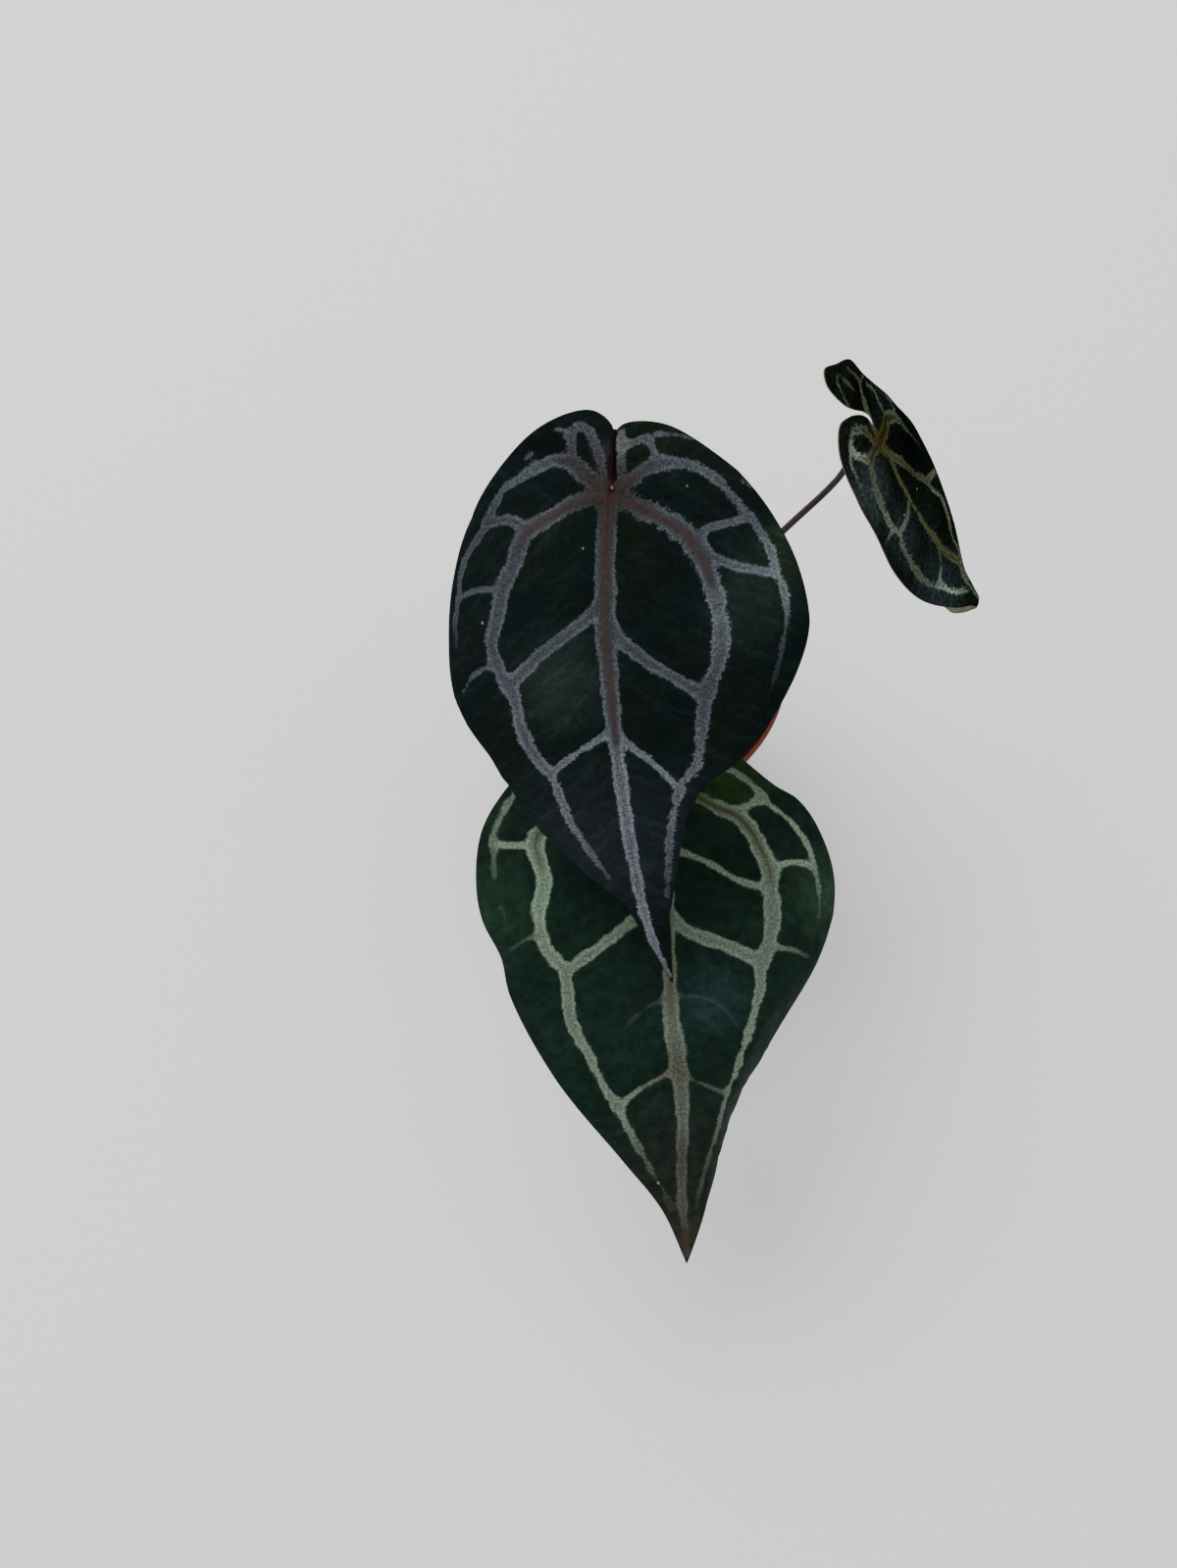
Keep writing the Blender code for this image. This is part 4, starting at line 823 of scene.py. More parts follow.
def velvet(name, look):
    """Anthurium blade, upper skin: grown, unpolished, set with tiny domed cells that drink light.

    To the eye it is nearly black with a dull bloom at a slant and faint strokes out from the midrib.
    The net over its veins is air-filled tissue, soft crystalline grey with frayed, brighter edges.
    """
    made, add, place, edge, core, clear, fray, margin = new_finish(
        name, ("flat", *BLADE_FIELDS), IOR=1.42, Specular_IOR_Level=look["gloss"],
        Sheen_Weight=look["sheen"], Sheen_Roughness=0.45, Sheen_Tint=colour(look["bloom"]))

    torn_fine = add("minus", add("grain", place, 1.4, 5.0, 0.8), 0.5)
    torn_wide = add("minus", add("grain", place, 0.22, 4.0, 0.65), 0.5)
    tears = add("plus", add("times", torn_fine, look["tear"][0]), add("times", torn_wide, look["tear"][1]))
    torn = add("plus", edge, add("times", tears, fray))
    patches = add("step", add("grain", place, 1.3, 4.0, 0.8), 0.34, 0.56, look["patchy"], 1.0)
    band = add("times", add("step", torn, look["soft"], -look["soft"]), add("times", clear, patches))

    cells = add("over", add("step", add("grain", place, 0.07, 3.0, 0.6), 0.35, 0.65), *look["cell"])
    # Patches on the cells: partly the blade's own tone, partly painted sheen and painted shade where it
    # slopes to or from the light
    cells = tinted(add, place, cells, look["cell_tints_and_painted_light"])
    # Strokes some 2 mm wide and 9 mm long slant out from the midrib, alike on both sides
    slanted = add("laid", add("mirror", place), None, (0.0, 0.0, STROKE_SLANT), (9.0, 2.2, 1.0))
    strokes = add("step", add("grain", slanted, 1.0, 3.0, 0.6), 0.46, 0.74, *look["strokes"])
    mottle = add("step", add("grain", place, look["mottle_grain"], 5.0, 0.75), 0.3, 0.7, *look["mottle"])
    cells = add("shade", cells, add("times", strokes, mottle))

    silver = tinted(add, place, look["silver"], look["silver_tints"])
    # The air cells are some 0.05 mm across, too fine to show, so their sparkle is drawn 0.5 mm coarse,
    # and so is the grain of the domed cells in the relief
    crystal = add("step", add("grain", place, 1.9, 4.0, 0.85), 0.34, 0.66, 0.48, 1.5)
    silver = add("shade", silver, add("times", crystal, add("step", torn, -1.1, -0.2, *look["rim"])))
    silver = add("over", add("step", core, 1.3, 0.0, 0.0, look["wash"][1]), silver, look["wash"][0])
    line = add("over", add("step", add("length", place), 16.0, 2.0), look["core"], look["knee"])
    frayed_core = add("plus", core, add("times", torn_fine, 0.8))
    silver = add("over", add("step", frayed_core, 0.25, -0.25, 0.0, 0.85), silver, line)

    skin = add("over", band, cells, silver)
    skin = tinted(add, place, skin, ((look["heart"], 0.2, 0.0, look["heart_reach"], 1.0),))
    skin = add("over", add("step", margin, look["edge_width"], 0.0, 0.0, 0.8), skin, look["edge"])
    domes = add("plus", add("grain", place, 1.9, 2.0, 0.7), add("times", band, 0.6))
    return dressed(made, add, skin, domes, 0.07, 0.35, add("step", band, 0.0, 1.0, 0.6, 0.5))


def underside(name, look):
    """Anthurium blade, lower skin: smooth and matt, pale, with lighter ribs and a fine net of veinlets."""
    made, add, place, edge = new_finish(
        name, ("flat", "vein"), Specular_IOR_Level=0.35, Roughness=0.55, IOR=1.42)
    field = add("over", add("step", add("grain", place, 0.12, 4.0, 0.6), 0.35, 0.65), *look["under"])
    # The net of veinlets has meshes 2 mm wide
    net = add("cells", place, 0.5, feature="DISTANCE_TO_EDGE", voronoi_dimensions="2D")
    field = add("over", add("step", net, 0.12, 0.0, 0.0, 0.4), field, look["rib"])
    field = add("over", add("step", edge, 0.1, -0.5), field, look["rib"])
    field = add("shade", field, add("step", add("grain", place, 1.1, 4.0, 0.6), 0.3, 0.7, 0.86, 1.14))
    return dressed(made, add, field, add("step", net, 0.2, 0.0), 0.1, 0.4)


def petiole_skin(name, tints, spot, gloss):
    """Anthurium petiole: a smooth waxy rind, satin, streaked lengthwise, sprinkled with pale lenticels."""
    made, add, place, way = new_finish(name, ("skin", "way"), Specular_IOR_Level=gloss, IOR=1.44)
    rind = add("over", add("step", way, 0.0, 0.4), tints[0], tints[1])
    rind = add("over", add("step", way, 0.8, 0.98), rind, tints[2])
    # Streaks 0.6 mm wide and 8 mm long, and lenticels 0.2 mm wide some 0.7 mm apart
    streak = add("grain", add("laid", place, None, None, (0.6, 0.6, 8.0)), 1.0, 4.0, 0.7)
    rind = add("shade", rind, add("step", streak, 0.3, 0.7, 0.72, 1.3))
    dots = add("cells", add("laid", place, None, None, (0.7, 0.7, 1.8)), 1.0)
    rind = add("over", add("step", dots, 0.26, 0.12, 0.0, 0.55), rind, spot)
    return dressed(made, add, rind, streak, 0.06, 0.4, add("step", streak, 0.3, 0.7, 0.48, 0.34))


def crown_rind(name):
    """Anthurium stem: a knobbly corky rind, matt, olive brown, with paler rings where leaves dropped."""
    made, add, place, scar = new_finish(
        name, ("skin", "scar"), Specular_IOR_Level=0.3, Roughness=0.72, IOR=1.45)
    rind = add("over", add("step", add("grain", place, 0.45, 5.0, 0.7), 0.35, 0.65), "4f4a2c", "6f6239")
    rind = add("over", add("step", scar, 0.2, 1.0, 0.0, 0.8), rind, "8a7550")
    # The cork cracks into plates 0.7 mm wide and 3 mm long
    cork = add("grain", add("laid", place, None, None, (0.7, 0.7, 2.8)), 1.0, 5.0, 0.75)
    rind = add("over", add("step", cork, 0.52, 0.72, 0.0, 0.8), rind, "3a2d20")
    return dressed(made, add, rind, cork, 0.3, 0.6)


def velamen(name):
    """Aerial root: spongy velamen, dull silver tan, wrinkled, greener towards the growing tip."""
    made, add, place, way = new_finish(
        name, ("skin", "way"), Specular_IOR_Level=0.25, Roughness=0.8, IOR=1.4)
    felt = add("over", add("step", add("grain", place, 0.8, 5.0, 0.7), 0.35, 0.65), "8a7a5e", "6b5c43")
    felt = add("over", add("step", way, 0.45, 1.0, 0.0, 0.7), felt, "5b5534")
    # Wrinkles 0.5 mm apart run round the root
    wrinkles = add("grain", add("laid", place, None, None, (1.1, 1.1, 0.5)), 1.0, 5.0, 0.7)
    return dressed(made, add, felt, wrinkles, 0.25, 0.6)


def dry_sheath(name):
    """Cataphyll: a leaf sheath dried to paper and fibre, matt straw brown, with dark lengthwise strands."""
    made, add, place = new_finish(name, ("skin",), Specular_IOR_Level=0.25, Roughness=0.82, IOR=1.45)
    paper = add("over", add("step", add("grain", place, 0.3, 4.0, 0.6), 0.35, 0.65), "8f7148", "6a4f30")
    # Strands 0.5 mm wide and 14 mm long
    strand = add("grain", add("laid", place, None, None, (0.55, 0.55, 14.0)), 1.0, 4.0, 0.75)
    paper = add("over", add("step", strand, 0.5, 0.66, 0.0, 0.8), paper, "3d2a1a")
    paper = add("over", add("step", strand, 0.44, 0.32, 0.0, 0.6), paper, "b59a6a")
    return dressed(made, add, paper, strand, 0.3, 0.7)


def moulded_pot(name):
    """Polypropylene, injection moulded: satin terracotta red, with faint flow mottle and scuffs.

    Dust clings low down, a trace of lime shows at the lip, and the inside is painted nearly black as shade.
    """
    made, add = new_finish(name, (), Specular_IOR_Level=0.18, IOR=1.49)
    place = add("shade", add("TexCoord", out="Object"), 1 / MM)
    height = add("SeparateXYZ", place, out="Z")
    # Flow marks 11 mm wide and 32 mm tall, and level scuffs 2 mm long
    flow = add("grain", add("laid", place, None, None, (11.0, 11.0, 32.0)), 1.0, 5.0, 0.6)
    wall = add("over", add("step", flow, 0.35, 0.65), "541809", "621f0f")
    scuff = add("grain", add("laid", place, None, None, (2.0, 2.0, 0.7)), 1.0, 6.0, 0.8)
    wall = add("over", add("step", scuff, 0.56, 0.72, 0.0, 0.35), wall, "783520")
    dusty = add("step", add("grain", place, 0.3, 5.0, 0.6), 0.35, 0.7, 0.0, 0.6)
    wall = add("over", add("times", add("step", height, 16.0, 0.0), dusty), wall, "6f5546")
    limy = add("step", add("grain", place, 0.7, 6.0, 0.7), 0.55, 0.75, 0.0, 0.12)
    wall = add("over", add("times", add("step", height, 57.5, 63.5), limy), wall, "a88774")
    # Painted shade: the inside, where the skin faces the upright axis, is made nearly black below the lip
    level = add("laid", place, None, None, (1.0, 1.0, 1.0e6))
    outward = add("facing", add("TexCoord", out="Normal"), level)
    below_lip = add("step", height, POT_HEIGHT - 0.1, POT_HEIGHT - 0.7, 0.0, 0.94)
    wall = add("over", add("times", add("step", outward, -1.0, -6.0), below_lip), wall, "120b08")
    rough = add("step", scuff, 0.35, 0.75, 0.44, 0.6)
    return dressed(made, add, wall, add("grain", place, 1.2, 3.0, 0.6), 0.03, 0.3, rough)


def peat(name):
    """Potting mix bed: damp peat and coir, crumbly, matt, dark brown."""
    made, add = new_finish(name, (), Specular_IOR_Level=0.2, Roughness=0.92)
    crumb = add("grain", add("shade", add("TexCoord", out="Object"), 1 / MM), 0.8, 6.0, 0.75)
    bed = add("over", add("step", crumb, 0.35, 0.65), "1d1410", "3a291d")
    return dressed(made, add, bed, crumb, 0.8, 0.8)


def bark(name):
    """Pine bark chips: split along the grain, matt, red brown in layers, with darker damp sides."""
    made, add, place = new_finish(name, ("chip",), Specular_IOR_Level=0.25, Roughness=0.85)
    # Layers of bark some 0.5 mm thick
    layer = add("grain", add("laid", place, None, None, (4.0, 1.2, 0.55)), 1.0, 5.0, 0.7)
    wood = add("over", add("step", layer, 0.35, 0.65), "3b2417", "7a4f33")
    damp = add("step", add("grain", place, 0.12, 2.0, 0.6), 0.5, 0.7, 0.0, 0.7)
    return dressed(made, add, add("over", damp, wood, "2a1a13"), layer, 0.4, 0.7)


def popped_glass(name):
    """Perlite: glass popped by heat, chalky white foam with a matt, pitted skin."""
    made, add, place = new_finish(name, ("chip",), Specular_IOR_Level=0.3, Roughness=0.9)
    pits = add("grain", place, 1.3, 5.0, 0.75)
    return dressed(made, add, add("over", add("step", pits, 0.35, 0.6), "9d968a", "d9d5ca"), pits, 0.3, 0.8)


def water(name):
    """A drop of water, clear, with a speck of lime drying in it that shows whitish."""
    made, add, place = new_finish(name, ("chip",), IOR=1.333, Roughness=0.04, Transmission_Weight=0.8)
    lime = add("step", add("grain", place, 1.2, 3.0, 0.6), 0.4, 0.6)
    return dressed(made, add, add("over", lime, "7b8686", "c4cccc"))


def fold_skin(name, near, far, under):
    """Rolled edge of a blade: the smooth lower skin seen edge on, with painted shade darker the deeper it
    turns in.
    """
    made, add, place, fold, layer = new_finish(
        name, ("flat", "fold", "layer"), Specular_IOR_Level=0.2, Roughness=0.5, IOR=1.42)
    # Painted shade: the strip darkens from its outer side to the side that turns in deepest
    tone = add("over", layer, add("over", add("step", fold, 0.0, 0.7), near, far), under)
    blotch = add("step", add("grain", place, 1.2, 4.0, 0.6), 0.3, 0.7, 0.75, 1.25)
    return dressed(made, add, add("shade", tone, blotch))


# Looks of the blades: tints are (colour, across, along, reach, amount), with places and reaches in mm
# The cell tints are partly each blade's own tone and partly painted sheen and painted shade
UPPER_LOOK = {
    "sheen": 0.015, "bloom": "8a97a6", "gloss": 0, "patchy": 0.62, "tear": (6, 5.4), "soft": 0.2,
    "rim": (0.76, 1.3), "strokes": (0.92, 1.45), "mottle": (0.78, 1.22), "mottle_grain": 0.9,
    "cell": ("0f1717", "121916"),
    # Cell tints: partly the blade's own tone, partly painted sheen on cells that slope to the light
    "cell_tints_and_painted_light": (("1d2724", 27, 23, 15, 0.95), ("222b29", -9, 33, 14, 0.9), ("212629", -8, 66, 26, 0.85),
        ("1c2225", 8, 68, 24, 0.8), ("15191b", -33, 24, 12, 0.6), ("202b20", 34, 15, 12, 0.8),
        ("0f1413", 10, 14, 9, 0.5), ("141c11", 10, -9, 9, 0.9), ("29222a", -0.2, -7, 3.2, 1),
        ("12180f", 4.5, 9, 5, 0.8), ("0c1010", -10, -10, 10, 0.9)),
    "silver": "42464a",
    "silver_tints": (("34363a", -26, 2, 18, 0.9), ("60686a", 34, 20, 14, 0.9), ("5a5f61", 20, 26, 14, 0.85),
        ("62666c", 0, 60, 30, 1), ("67686f", 0, 84, 22, 0.9), ("3a3a38", 0, 16, 9, 0.5),
        ("52545b", -20, 40, 16, 0.8), ("2a2624", 0, 1, 14, 1), ("333034", -5, -8, 7, 0.8),
        ("5a5f5d", 2.9, -7.5, 3, 0.7)),
    "wash": ("38312f", 0.8), "core": "452f2d", "knee": "37221f", "heart": "300b14", "heart_reach": 1.5,
    "edge": "15110f", "edge_width": 0.3, "under": ("5a5140", "4b4a38"), "rib": "77705a",
}
LOWER_LOOK = {
    "sheen": 0.02, "bloom": "93a59c", "gloss": 0.03, "patchy": 0.8, "tear": (2, 6), "soft": 0.32,
    "rim": (0.84, 1.18), "strokes": (0.95, 1.25), "mottle": (0.72, 1.34), "mottle_grain": 0.4,
    "cell": ("101e18", "14241c"),
    # Cell tints: partly the blade's own tone, partly painted sheen and shade on the lobes that slope to and
    # from the light
    "cell_tints_and_painted_light": (("1d3013", 15, 1, 13, 1), ("101f11", 14, 20, 9, 0.6), ("1b2c21", -35, 24, 16, 0.9),
        ("273a2b", 35, 28, 14, 0.9), ("1f2f2f", 8, 46, 11, 0.9), ("152322", -10, 48, 14, 0.7),
        ("1e211c", 0, 84, 26, 0.9), ("2e2b22", 0, 100, 14, 0.9)),
    "silver": "616c5e",
    "silver_tints": (("6f826d", -25, 20, 22, 0.95), ("76886f", 28, 12, 15, 0.95), ("33351d", 7, 1, 9, 1),
        ("51554a", 0, 42, 12, 0.85), ("4e4c44", 0, 60, 14, 0.95), ("423f3a", 0, 80, 18, 1),
        ("332d26", 0, 98, 18, 1)),
    "wash": ("4c4c38", 0.45), "core": "3a3a1f", "knee": "3a3a1f", "heart": "4a0f1a", "heart_reach": 1.9,
    "edge": "171511", "edge_width": 0.3, "under": ("626048", "53553f"), "rib": "838064",
}
SMALL_LOOK = {
    "sheen": 0, "bloom": "9fb0b4", "gloss": 0, "patchy": 0.7, "tear": (7.5, 5), "soft": 0.16,
    "rim": (0.55, 1.75), "strokes": (0.85, 1.4), "mottle": (0.3, 1.95), "mottle_grain": 1.1,
    "cell": ("0e140f", "131915"),
    # Painted light and shade: the young blade's left half is lighter, as lit, and its right half nearly
    # black, as shaded
    "cell_tints_and_painted_light": (("2b3333", -9, 2, 10, 0.9), ("212829", -8, 16, 9, 0.8), ("232c2e", -9, 34, 14, 0.9),
        ("050805", 10, 10, 15, 1), ("060a05", 8, 28, 9, 0.8), ("060a06", 4, -10, 9, 1),
        ("090e08", -3, -5, 4, 0.8)),
    "silver": "40453a",
    "silver_tints": (("32290f", 1.5, 0, 9, 1), ("2c2f1b", 7, 12, 13, 1), ("363922", 3, 30, 9, 0.9),
        ("687267", -7.5, -5, 5.5, 1), ("525a4e", -9, 12, 7, 0.8), ("748074", -7, 37, 9, 1),
        ("33361f", 4, -12, 9, 0.9), ("312e16", 6, 0.5, 5, 1)),
    "wash": ("353620", 0.8), "core": "6a6a40", "knee": "5a5a30", "heart": "34130f", "heart_reach": 1,
    "edge": "75624c", "edge_width": 0.12, "under": ("665f4b", "5b5543"), "rib": "7b7359",
}


def turned_margin(name, leaf, side, reach, profile, finish):
    """A strip rolled down from a blade's edge, from the notch on: `profile` is (across, below)."""
    route = curve_through(leaf[side], FOLD_STEP)[:round(reach / FOLD_STEP)]
    ease = np.sin(np.linspace(0.0, math.pi, len(route))) ** 0.4
    columns = []
    for across, below in profile:
        flat = route + np.stack([across * ease, np.zeros(len(route))], axis=1)
        middle = blade_surface(leaf, np.vstack([flat, [[0.0, leaf["length"]]]]))[:-1]
        normal = blade_normal(leaf, np.vstack([flat, [[0.0, leaf["length"]]]]))[:-1]
        columns.append(middle - normal * (below * ease)[:, None])
    grid = in_scene(leaf, np.stack(columns, axis=1).reshape(-1, 3)).reshape(len(route), len(profile), 3)
    flat = np.hstack([np.repeat(route, len(profile), axis=0), np.zeros((len(route) * len(profile), 1))])
    share = np.tile(np.linspace(0.0, 1.0, len(profile)), len(route))
    return put(sheet(name, grid, FOLD_THICKNESS, finish, extra={"flat": flat, "fold": share}))


def blades():
    """The three leaves, and the rolled edge between the upper one's lobes."""
    for name, node, slot, leaf, look, web, seed in (
            ("upper_blade", "leaf_upper", "leaf_dark", LEAF_UPPER, UPPER_LOOK, 1.3, 3),
            ("lower_blade", "leaf_lower", "leaf_green", LEAF_LOWER, LOWER_LOOK, 1.5, 5),
            ("small_blade", "leaf_small", "leaf_young", LEAF_SMALL, SMALL_LOOK, 0.5, 8)):
        skins = [velvet(name + "_velvet", look), underside(name + "_underside", look)]
        blade(name, node, leaf, skins, web, seed)
    # The rolled edge in the upper blade's notch is dark red: partly its own colour, partly painted shade
    turned_margin("upper_sinus_fold", LEAF_UPPER, "left", 10.4,
                  ((-0.5, 0.3), (0.1, 0.45), (0.7, 0.9), (1.5, 1.4), (2.6, 1.6), (3.6, 1.6)),
                  fold_skin("sinus_red_and_painted_shade", "280510", "150308", "574e3e"))


def stalk(name, node, spec, leaf, finish):
    """A petiole from the crown to its blade's underside, clasping below, with a creased knee on top."""
    turn = leaf_turn(leaf).to_matrix()
    up = turn @ Vector((0, 0, 1))
    end = Vector(leaf["stalk_at"]) - up * (BLADE + STALK_GAP)
    foot_x, foot_y = spec["foot"]
    foot = (foot_x, foot_y, CROWN_TOP - SOCKET_DEPTH)
    knee = tuple(end - up * spec["square_run"])
    route = curve_through([foot, (foot_x, foot_y, CROWN_TOP), *spec["way"], knee, tuple(end)], STALK_STEP)
    to_end = np.linalg.norm(route - np.array(end), axis=1)
    from_crown = np.clip(route[:, 2] - CROWN_TOP, 0.0, None)
    foot_radius, top_radius = spec["radius"]
    swell = KNEE_SWELL * foot_radius * smooth(1.0 - to_end / KNEE_REACH)
    creases = CREASE_DEPTH * np.sin(to_end * 2 * math.pi / CREASE_STEP) * smooth(1.0 - to_end / KNEE_REACH)
    creases *= smooth(to_end / CREASE_STEP)
    clasp = CLASP_FOOT * np.exp(-from_crown / 2.5) + CLASP_TOP * np.exp(-to_end / 0.5)
    radii = top_radius + (foot_radius - top_radius) * np.linspace(1.0, 0.0, len(route))
    radii += swell + creases + clasp
    angles = angles_round(STALK_SIDES)
    furrow = 1.0 - 0.07 * np.exp(-((angles - math.pi) / 0.35) ** 2) + 0.012 * np.sin(angles * 7)
    return put(rod(name, route, radii[:, None] * furrow, STALK_SIDES, finish), node)


def stalks():
    """The three petioles, greener on the large leaves and purple brown on the young one."""
    stalk("upper_petiole", "petiole_upper", STALK_UPPER, LEAF_UPPER,
          petiole_skin("petiole_olive", ("5a3b30", "5d5636", "6b4f3c"), "8b8160", 0.4))
    stalk("lower_petiole", "petiole_lower", STALK_LOWER, LEAF_LOWER,
          petiole_skin("petiole_green", ("56402f", "5b5c38", "6a5440"), "8b8765", 0.4))
    stalk("small_petiole", "petiole_small", STALK_SMALL, LEAF_SMALL,
          petiole_skin("petiole_purple", ("3a2a2b", "32262b", "392826"), "4c3d3b", 0.14))


def crown():
    """The stem above the mix: corky rings of old leaf scars, and aerial roots that dive into the mix."""
    ways = around(CROWN_SIDES)
    rings, scars = [], []
    for height in np.arange(CROWN_FOOT, CROWN_TOP + 0.01, CROWN_RING_STEP):
        phase = ((height - CROWN_FOOT) / SCAR_STEP) % 1.0
        lean = np.sin(angles_round(CROWN_SIDES) + height * 0.8) * 0.12
        step = (phase + lean) % 1.0
        scar = np.exp(-((step - SCAR_PLACE) / SCAR_WIDTH) ** 2)
        radius = CROWN_RADIUS - SCAR_RISE + SCAR_RISE * step - SCAR_DEPTH * scar
        radius = radius - 0.8 * smooth((height - CROWN_TOP + SHOULDER_ROUND) / SHOULDER_ROUND) ** 2
        ring = ways * radius[:, None] + (0.0, 0.0, height)
        unrolled = np.stack([np.arange(CROWN_SIDES) * 0.36, np.full(CROWN_SIDES, height)], axis=1)
        knobs = swells(unrolled, 4, CROWN_KNOBS)
        ring[:, :2] += ways[:, :2] * knobs[:, None] * 0.8
        rings.append(ring)
        scars.append(scar)
    shoulder = rings[-1]
    for share in SHOULDER_SHARES:
        ring = shoulder * (share, share, 1.0)
        for spec in (STALK_UPPER, STALK_LOWER, STALK_SMALL):
            away = np.linalg.norm(ring[:, :2] - np.array(spec["foot"]), axis=1) - spec["radius"][0]
            ring[:, 2] += 0.55 * np.exp(-(away / 0.7) ** 2)
        rings.append(ring)
        scars.append(np.zeros(CROWN_SIDES))
    stem = loft("stem", rings, crown_rind("corky_stem"), 70.0,
                {"skin": np.vstack(rings), "scar": np.concatenate(scars)})
    put(stem, "crown")
    finish = velamen("root_velamen")
    roots = []
    rest = MIX_TOP + ROOT_RADIUS + MIX_CLEARANCE
    for i in range(ROOTS):
        out, over = spoke(2 * math.pi * (i + 0.3) / ROOTS)
        points = [out * radius + over * bend + (0.0, 0.0, rest + rise)
                  for (radius, rise), bend in zip(ROOT_WAY + ROOT_DIVE, ROOT_BENDS)]
        route = curve_through(points, 0.45)
        share = np.linspace(0.0, 1.0, len(route))
        wrinkled = 0.06 * np.sin(share * 34.0 + i) + 0.05 * np.sin(share * 83.0)
        radii = ROOT_RADIUS * (1.05 - 0.35 * share) + wrinkled
        roots.append(rod("root", route, radii, ROOT_SIDES, finish))
    put(joined("aerial_roots", roots))


def sheaths():
    """Dry cataphylls round the crown: a fused foot, three torn flaring points, and loose fibres."""
    azimuth = np.arange(SHEATH_SIDES) * 360.0 / SHEATH_SIDES
    turns = np.radians(azimuth)
    inner = CROWN_RADIUS + 0.45
    tall = np.full(SHEATH_SIDES, SHEATH_HEIGHT)
    for point, height in SHEATH_POINTS:
        tall = tall + height * np.clip(1.0 - np.abs(azimuth - point) / SHEATH_POINT_WIDTH, 0.0, 1.0) ** 1.3
    line = np.stack([turns * SHEATH_RADIUS, np.zeros(SHEATH_SIDES)], axis=1)
    tall = tall + swells(line, 21, SHEATH_TEARS)
    grid, skin = [], []
    for share in np.linspace(0.0, 1.0, SHEATH_LEVELS):
        rise = tall * share
        crumple = swells(np.stack([turns * SHEATH_RADIUS, rise], axis=1), 22, SHEATH_CRUMPLE)
        ribs = 0.07 * np.sin(turns * 54) + 0.05 * np.sin(turns * 31 + 1.0)
        radius = inner + SHEATH_WALL * 0.5 + SHEATH_FLARE * (rise / 12.0) ** 2
        radius += (crumple * 0.6 + ribs) * smooth(rise / 3.0)
        grid.append(np.stack([radius * np.cos(turns), radius * np.sin(turns), SHEATH_FOOT + rise], axis=1))
        skin.append(np.stack([np.cos(turns) * SHEATH_RADIUS, np.sin(turns) * SHEATH_RADIUS, rise], axis=1))
    finish = dry_sheath("dry_sheath")
    draw = np.random.default_rng(SEED)
    kept = {"skin": np.vstack(skin)}
    parts = [sheet("sheath", np.array(grid), SHEATH_THICKNESS, finish, ring=True, extra=kept)]
    for start in draw.uniform(50.0, 235.0, FIBRES):
        i = int(start / 360.0 * SHEATH_SIDES) % SHEATH_SIDES
        base = grid[SHEATH_LEVELS - 3][i]
        out, over = spoke(turns[i])
        length, lean, side = draw.uniform(1.6, 4.2), draw.uniform(0.1, 0.7), draw.uniform(-0.5, 0.5)
        steps = np.linspace(0.0, 1.0, 10)[:, None]
        route = base + steps * length * (0.0, 0.0, 1.0) + steps**2 * length * (lean * out + side * over)
        parts.append(rod("fibre", route, FIBRE_RADIUS * (1.0 - 0.7 * steps[:, 0]), 5, finish))
    put(joined("dry_sheaths", parts), "cataphylls")


def pot_wall(height):
    """Outer radius of the pot's tapered wall at a height."""
    return FOOT_RADIUS + TAPER * height


def pot():
    """The nursery pot: a thin moulded shell, its lip a stepped band, with drain holes in its floor."""
    lip = POT_HEIGHT - LIP_DEPTH
    bead = POT_HEIGHT - BEAD_DEPTH
    floor = FLOOR_RISE + FLOOR_THICKNESS
    corners = [
        (0.02, 0.35, 0), (1.6, 0.35, 0.2), (1.9, 0.0, 0.2), (HUB_RADIUS, 0, 0.4),
        (HUB_RADIUS + 1, FLOOR_RISE, 0.5),
        (FOOT_RADIUS - FOOT_RING - 1, FLOOR_RISE, 0.5), (FOOT_RADIUS - FOOT_RING, 0, 0.4),
        (pot_wall(0), 0, 0.8), (pot_wall(lip), lip, 0.35), (RIM_RADIUS - 1.0, lip + 0.4, 0.3),
        (RIM_RADIUS - 0.8, bead, 0.2), (RIM_RADIUS + BEAD_OUT, bead + 0.6, 0.3),
        (RIM_RADIUS + BEAD_OUT, POT_HEIGHT, 0.35), (RIM_RADIUS + BEAD_OUT - 0.6, POT_HEIGHT, 0.25),
        (RIM_RADIUS - 1.5, bead, 0.5), (RIM_RADIUS - 1.9, lip + 0.8 * POT_WALL, 0.5),
        (pot_wall(lip) - POT_WALL, lip + 0.3, 0.5), (pot_wall(floor) - POT_WALL, floor, 1.2),
        (0.02, floor, 0),
    ]
    made = turned("pot_shell", rounded(corners), POT_SIDES, moulded_pot("moulded_polypropylene"), 40.0)
    drills = []
    for i in range(DRAIN_HOLES):
        angle = 2 * math.pi * (i + 0.5) / DRAIN_HOLES
        sides = [(DRAIN_RADIUS, -1.0), (DRAIN_RADIUS, floor + 1.0)]
        drill = turned("drill", sides, DRAIN_SIDES, made.data.materials[0])
        drill.location = Vector((math.cos(angle), math.sin(angle), 0.0)) * DRAIN_CIRCLE * MM
        drills.append(drill)
    cut(made, drills)
    put(made, "pot")


def mix_height(places):
    """Height of the rough top of the mix."""
    return MIX_TOP + swells(places, 31, MIX_SWELLS)


def ball():
    """The places and triangles of a ball of radius 1."""
    work = bmesh.new()
    bmesh.ops.create_icosphere(work, subdivisions=3, radius=1.0)
    places = np.array([vertex.co[:] for vertex in work.verts])
    triangles = np.array([[vertex.index for vertex in face.verts] for face in work.faces])
    work.free()
    return places, triangles


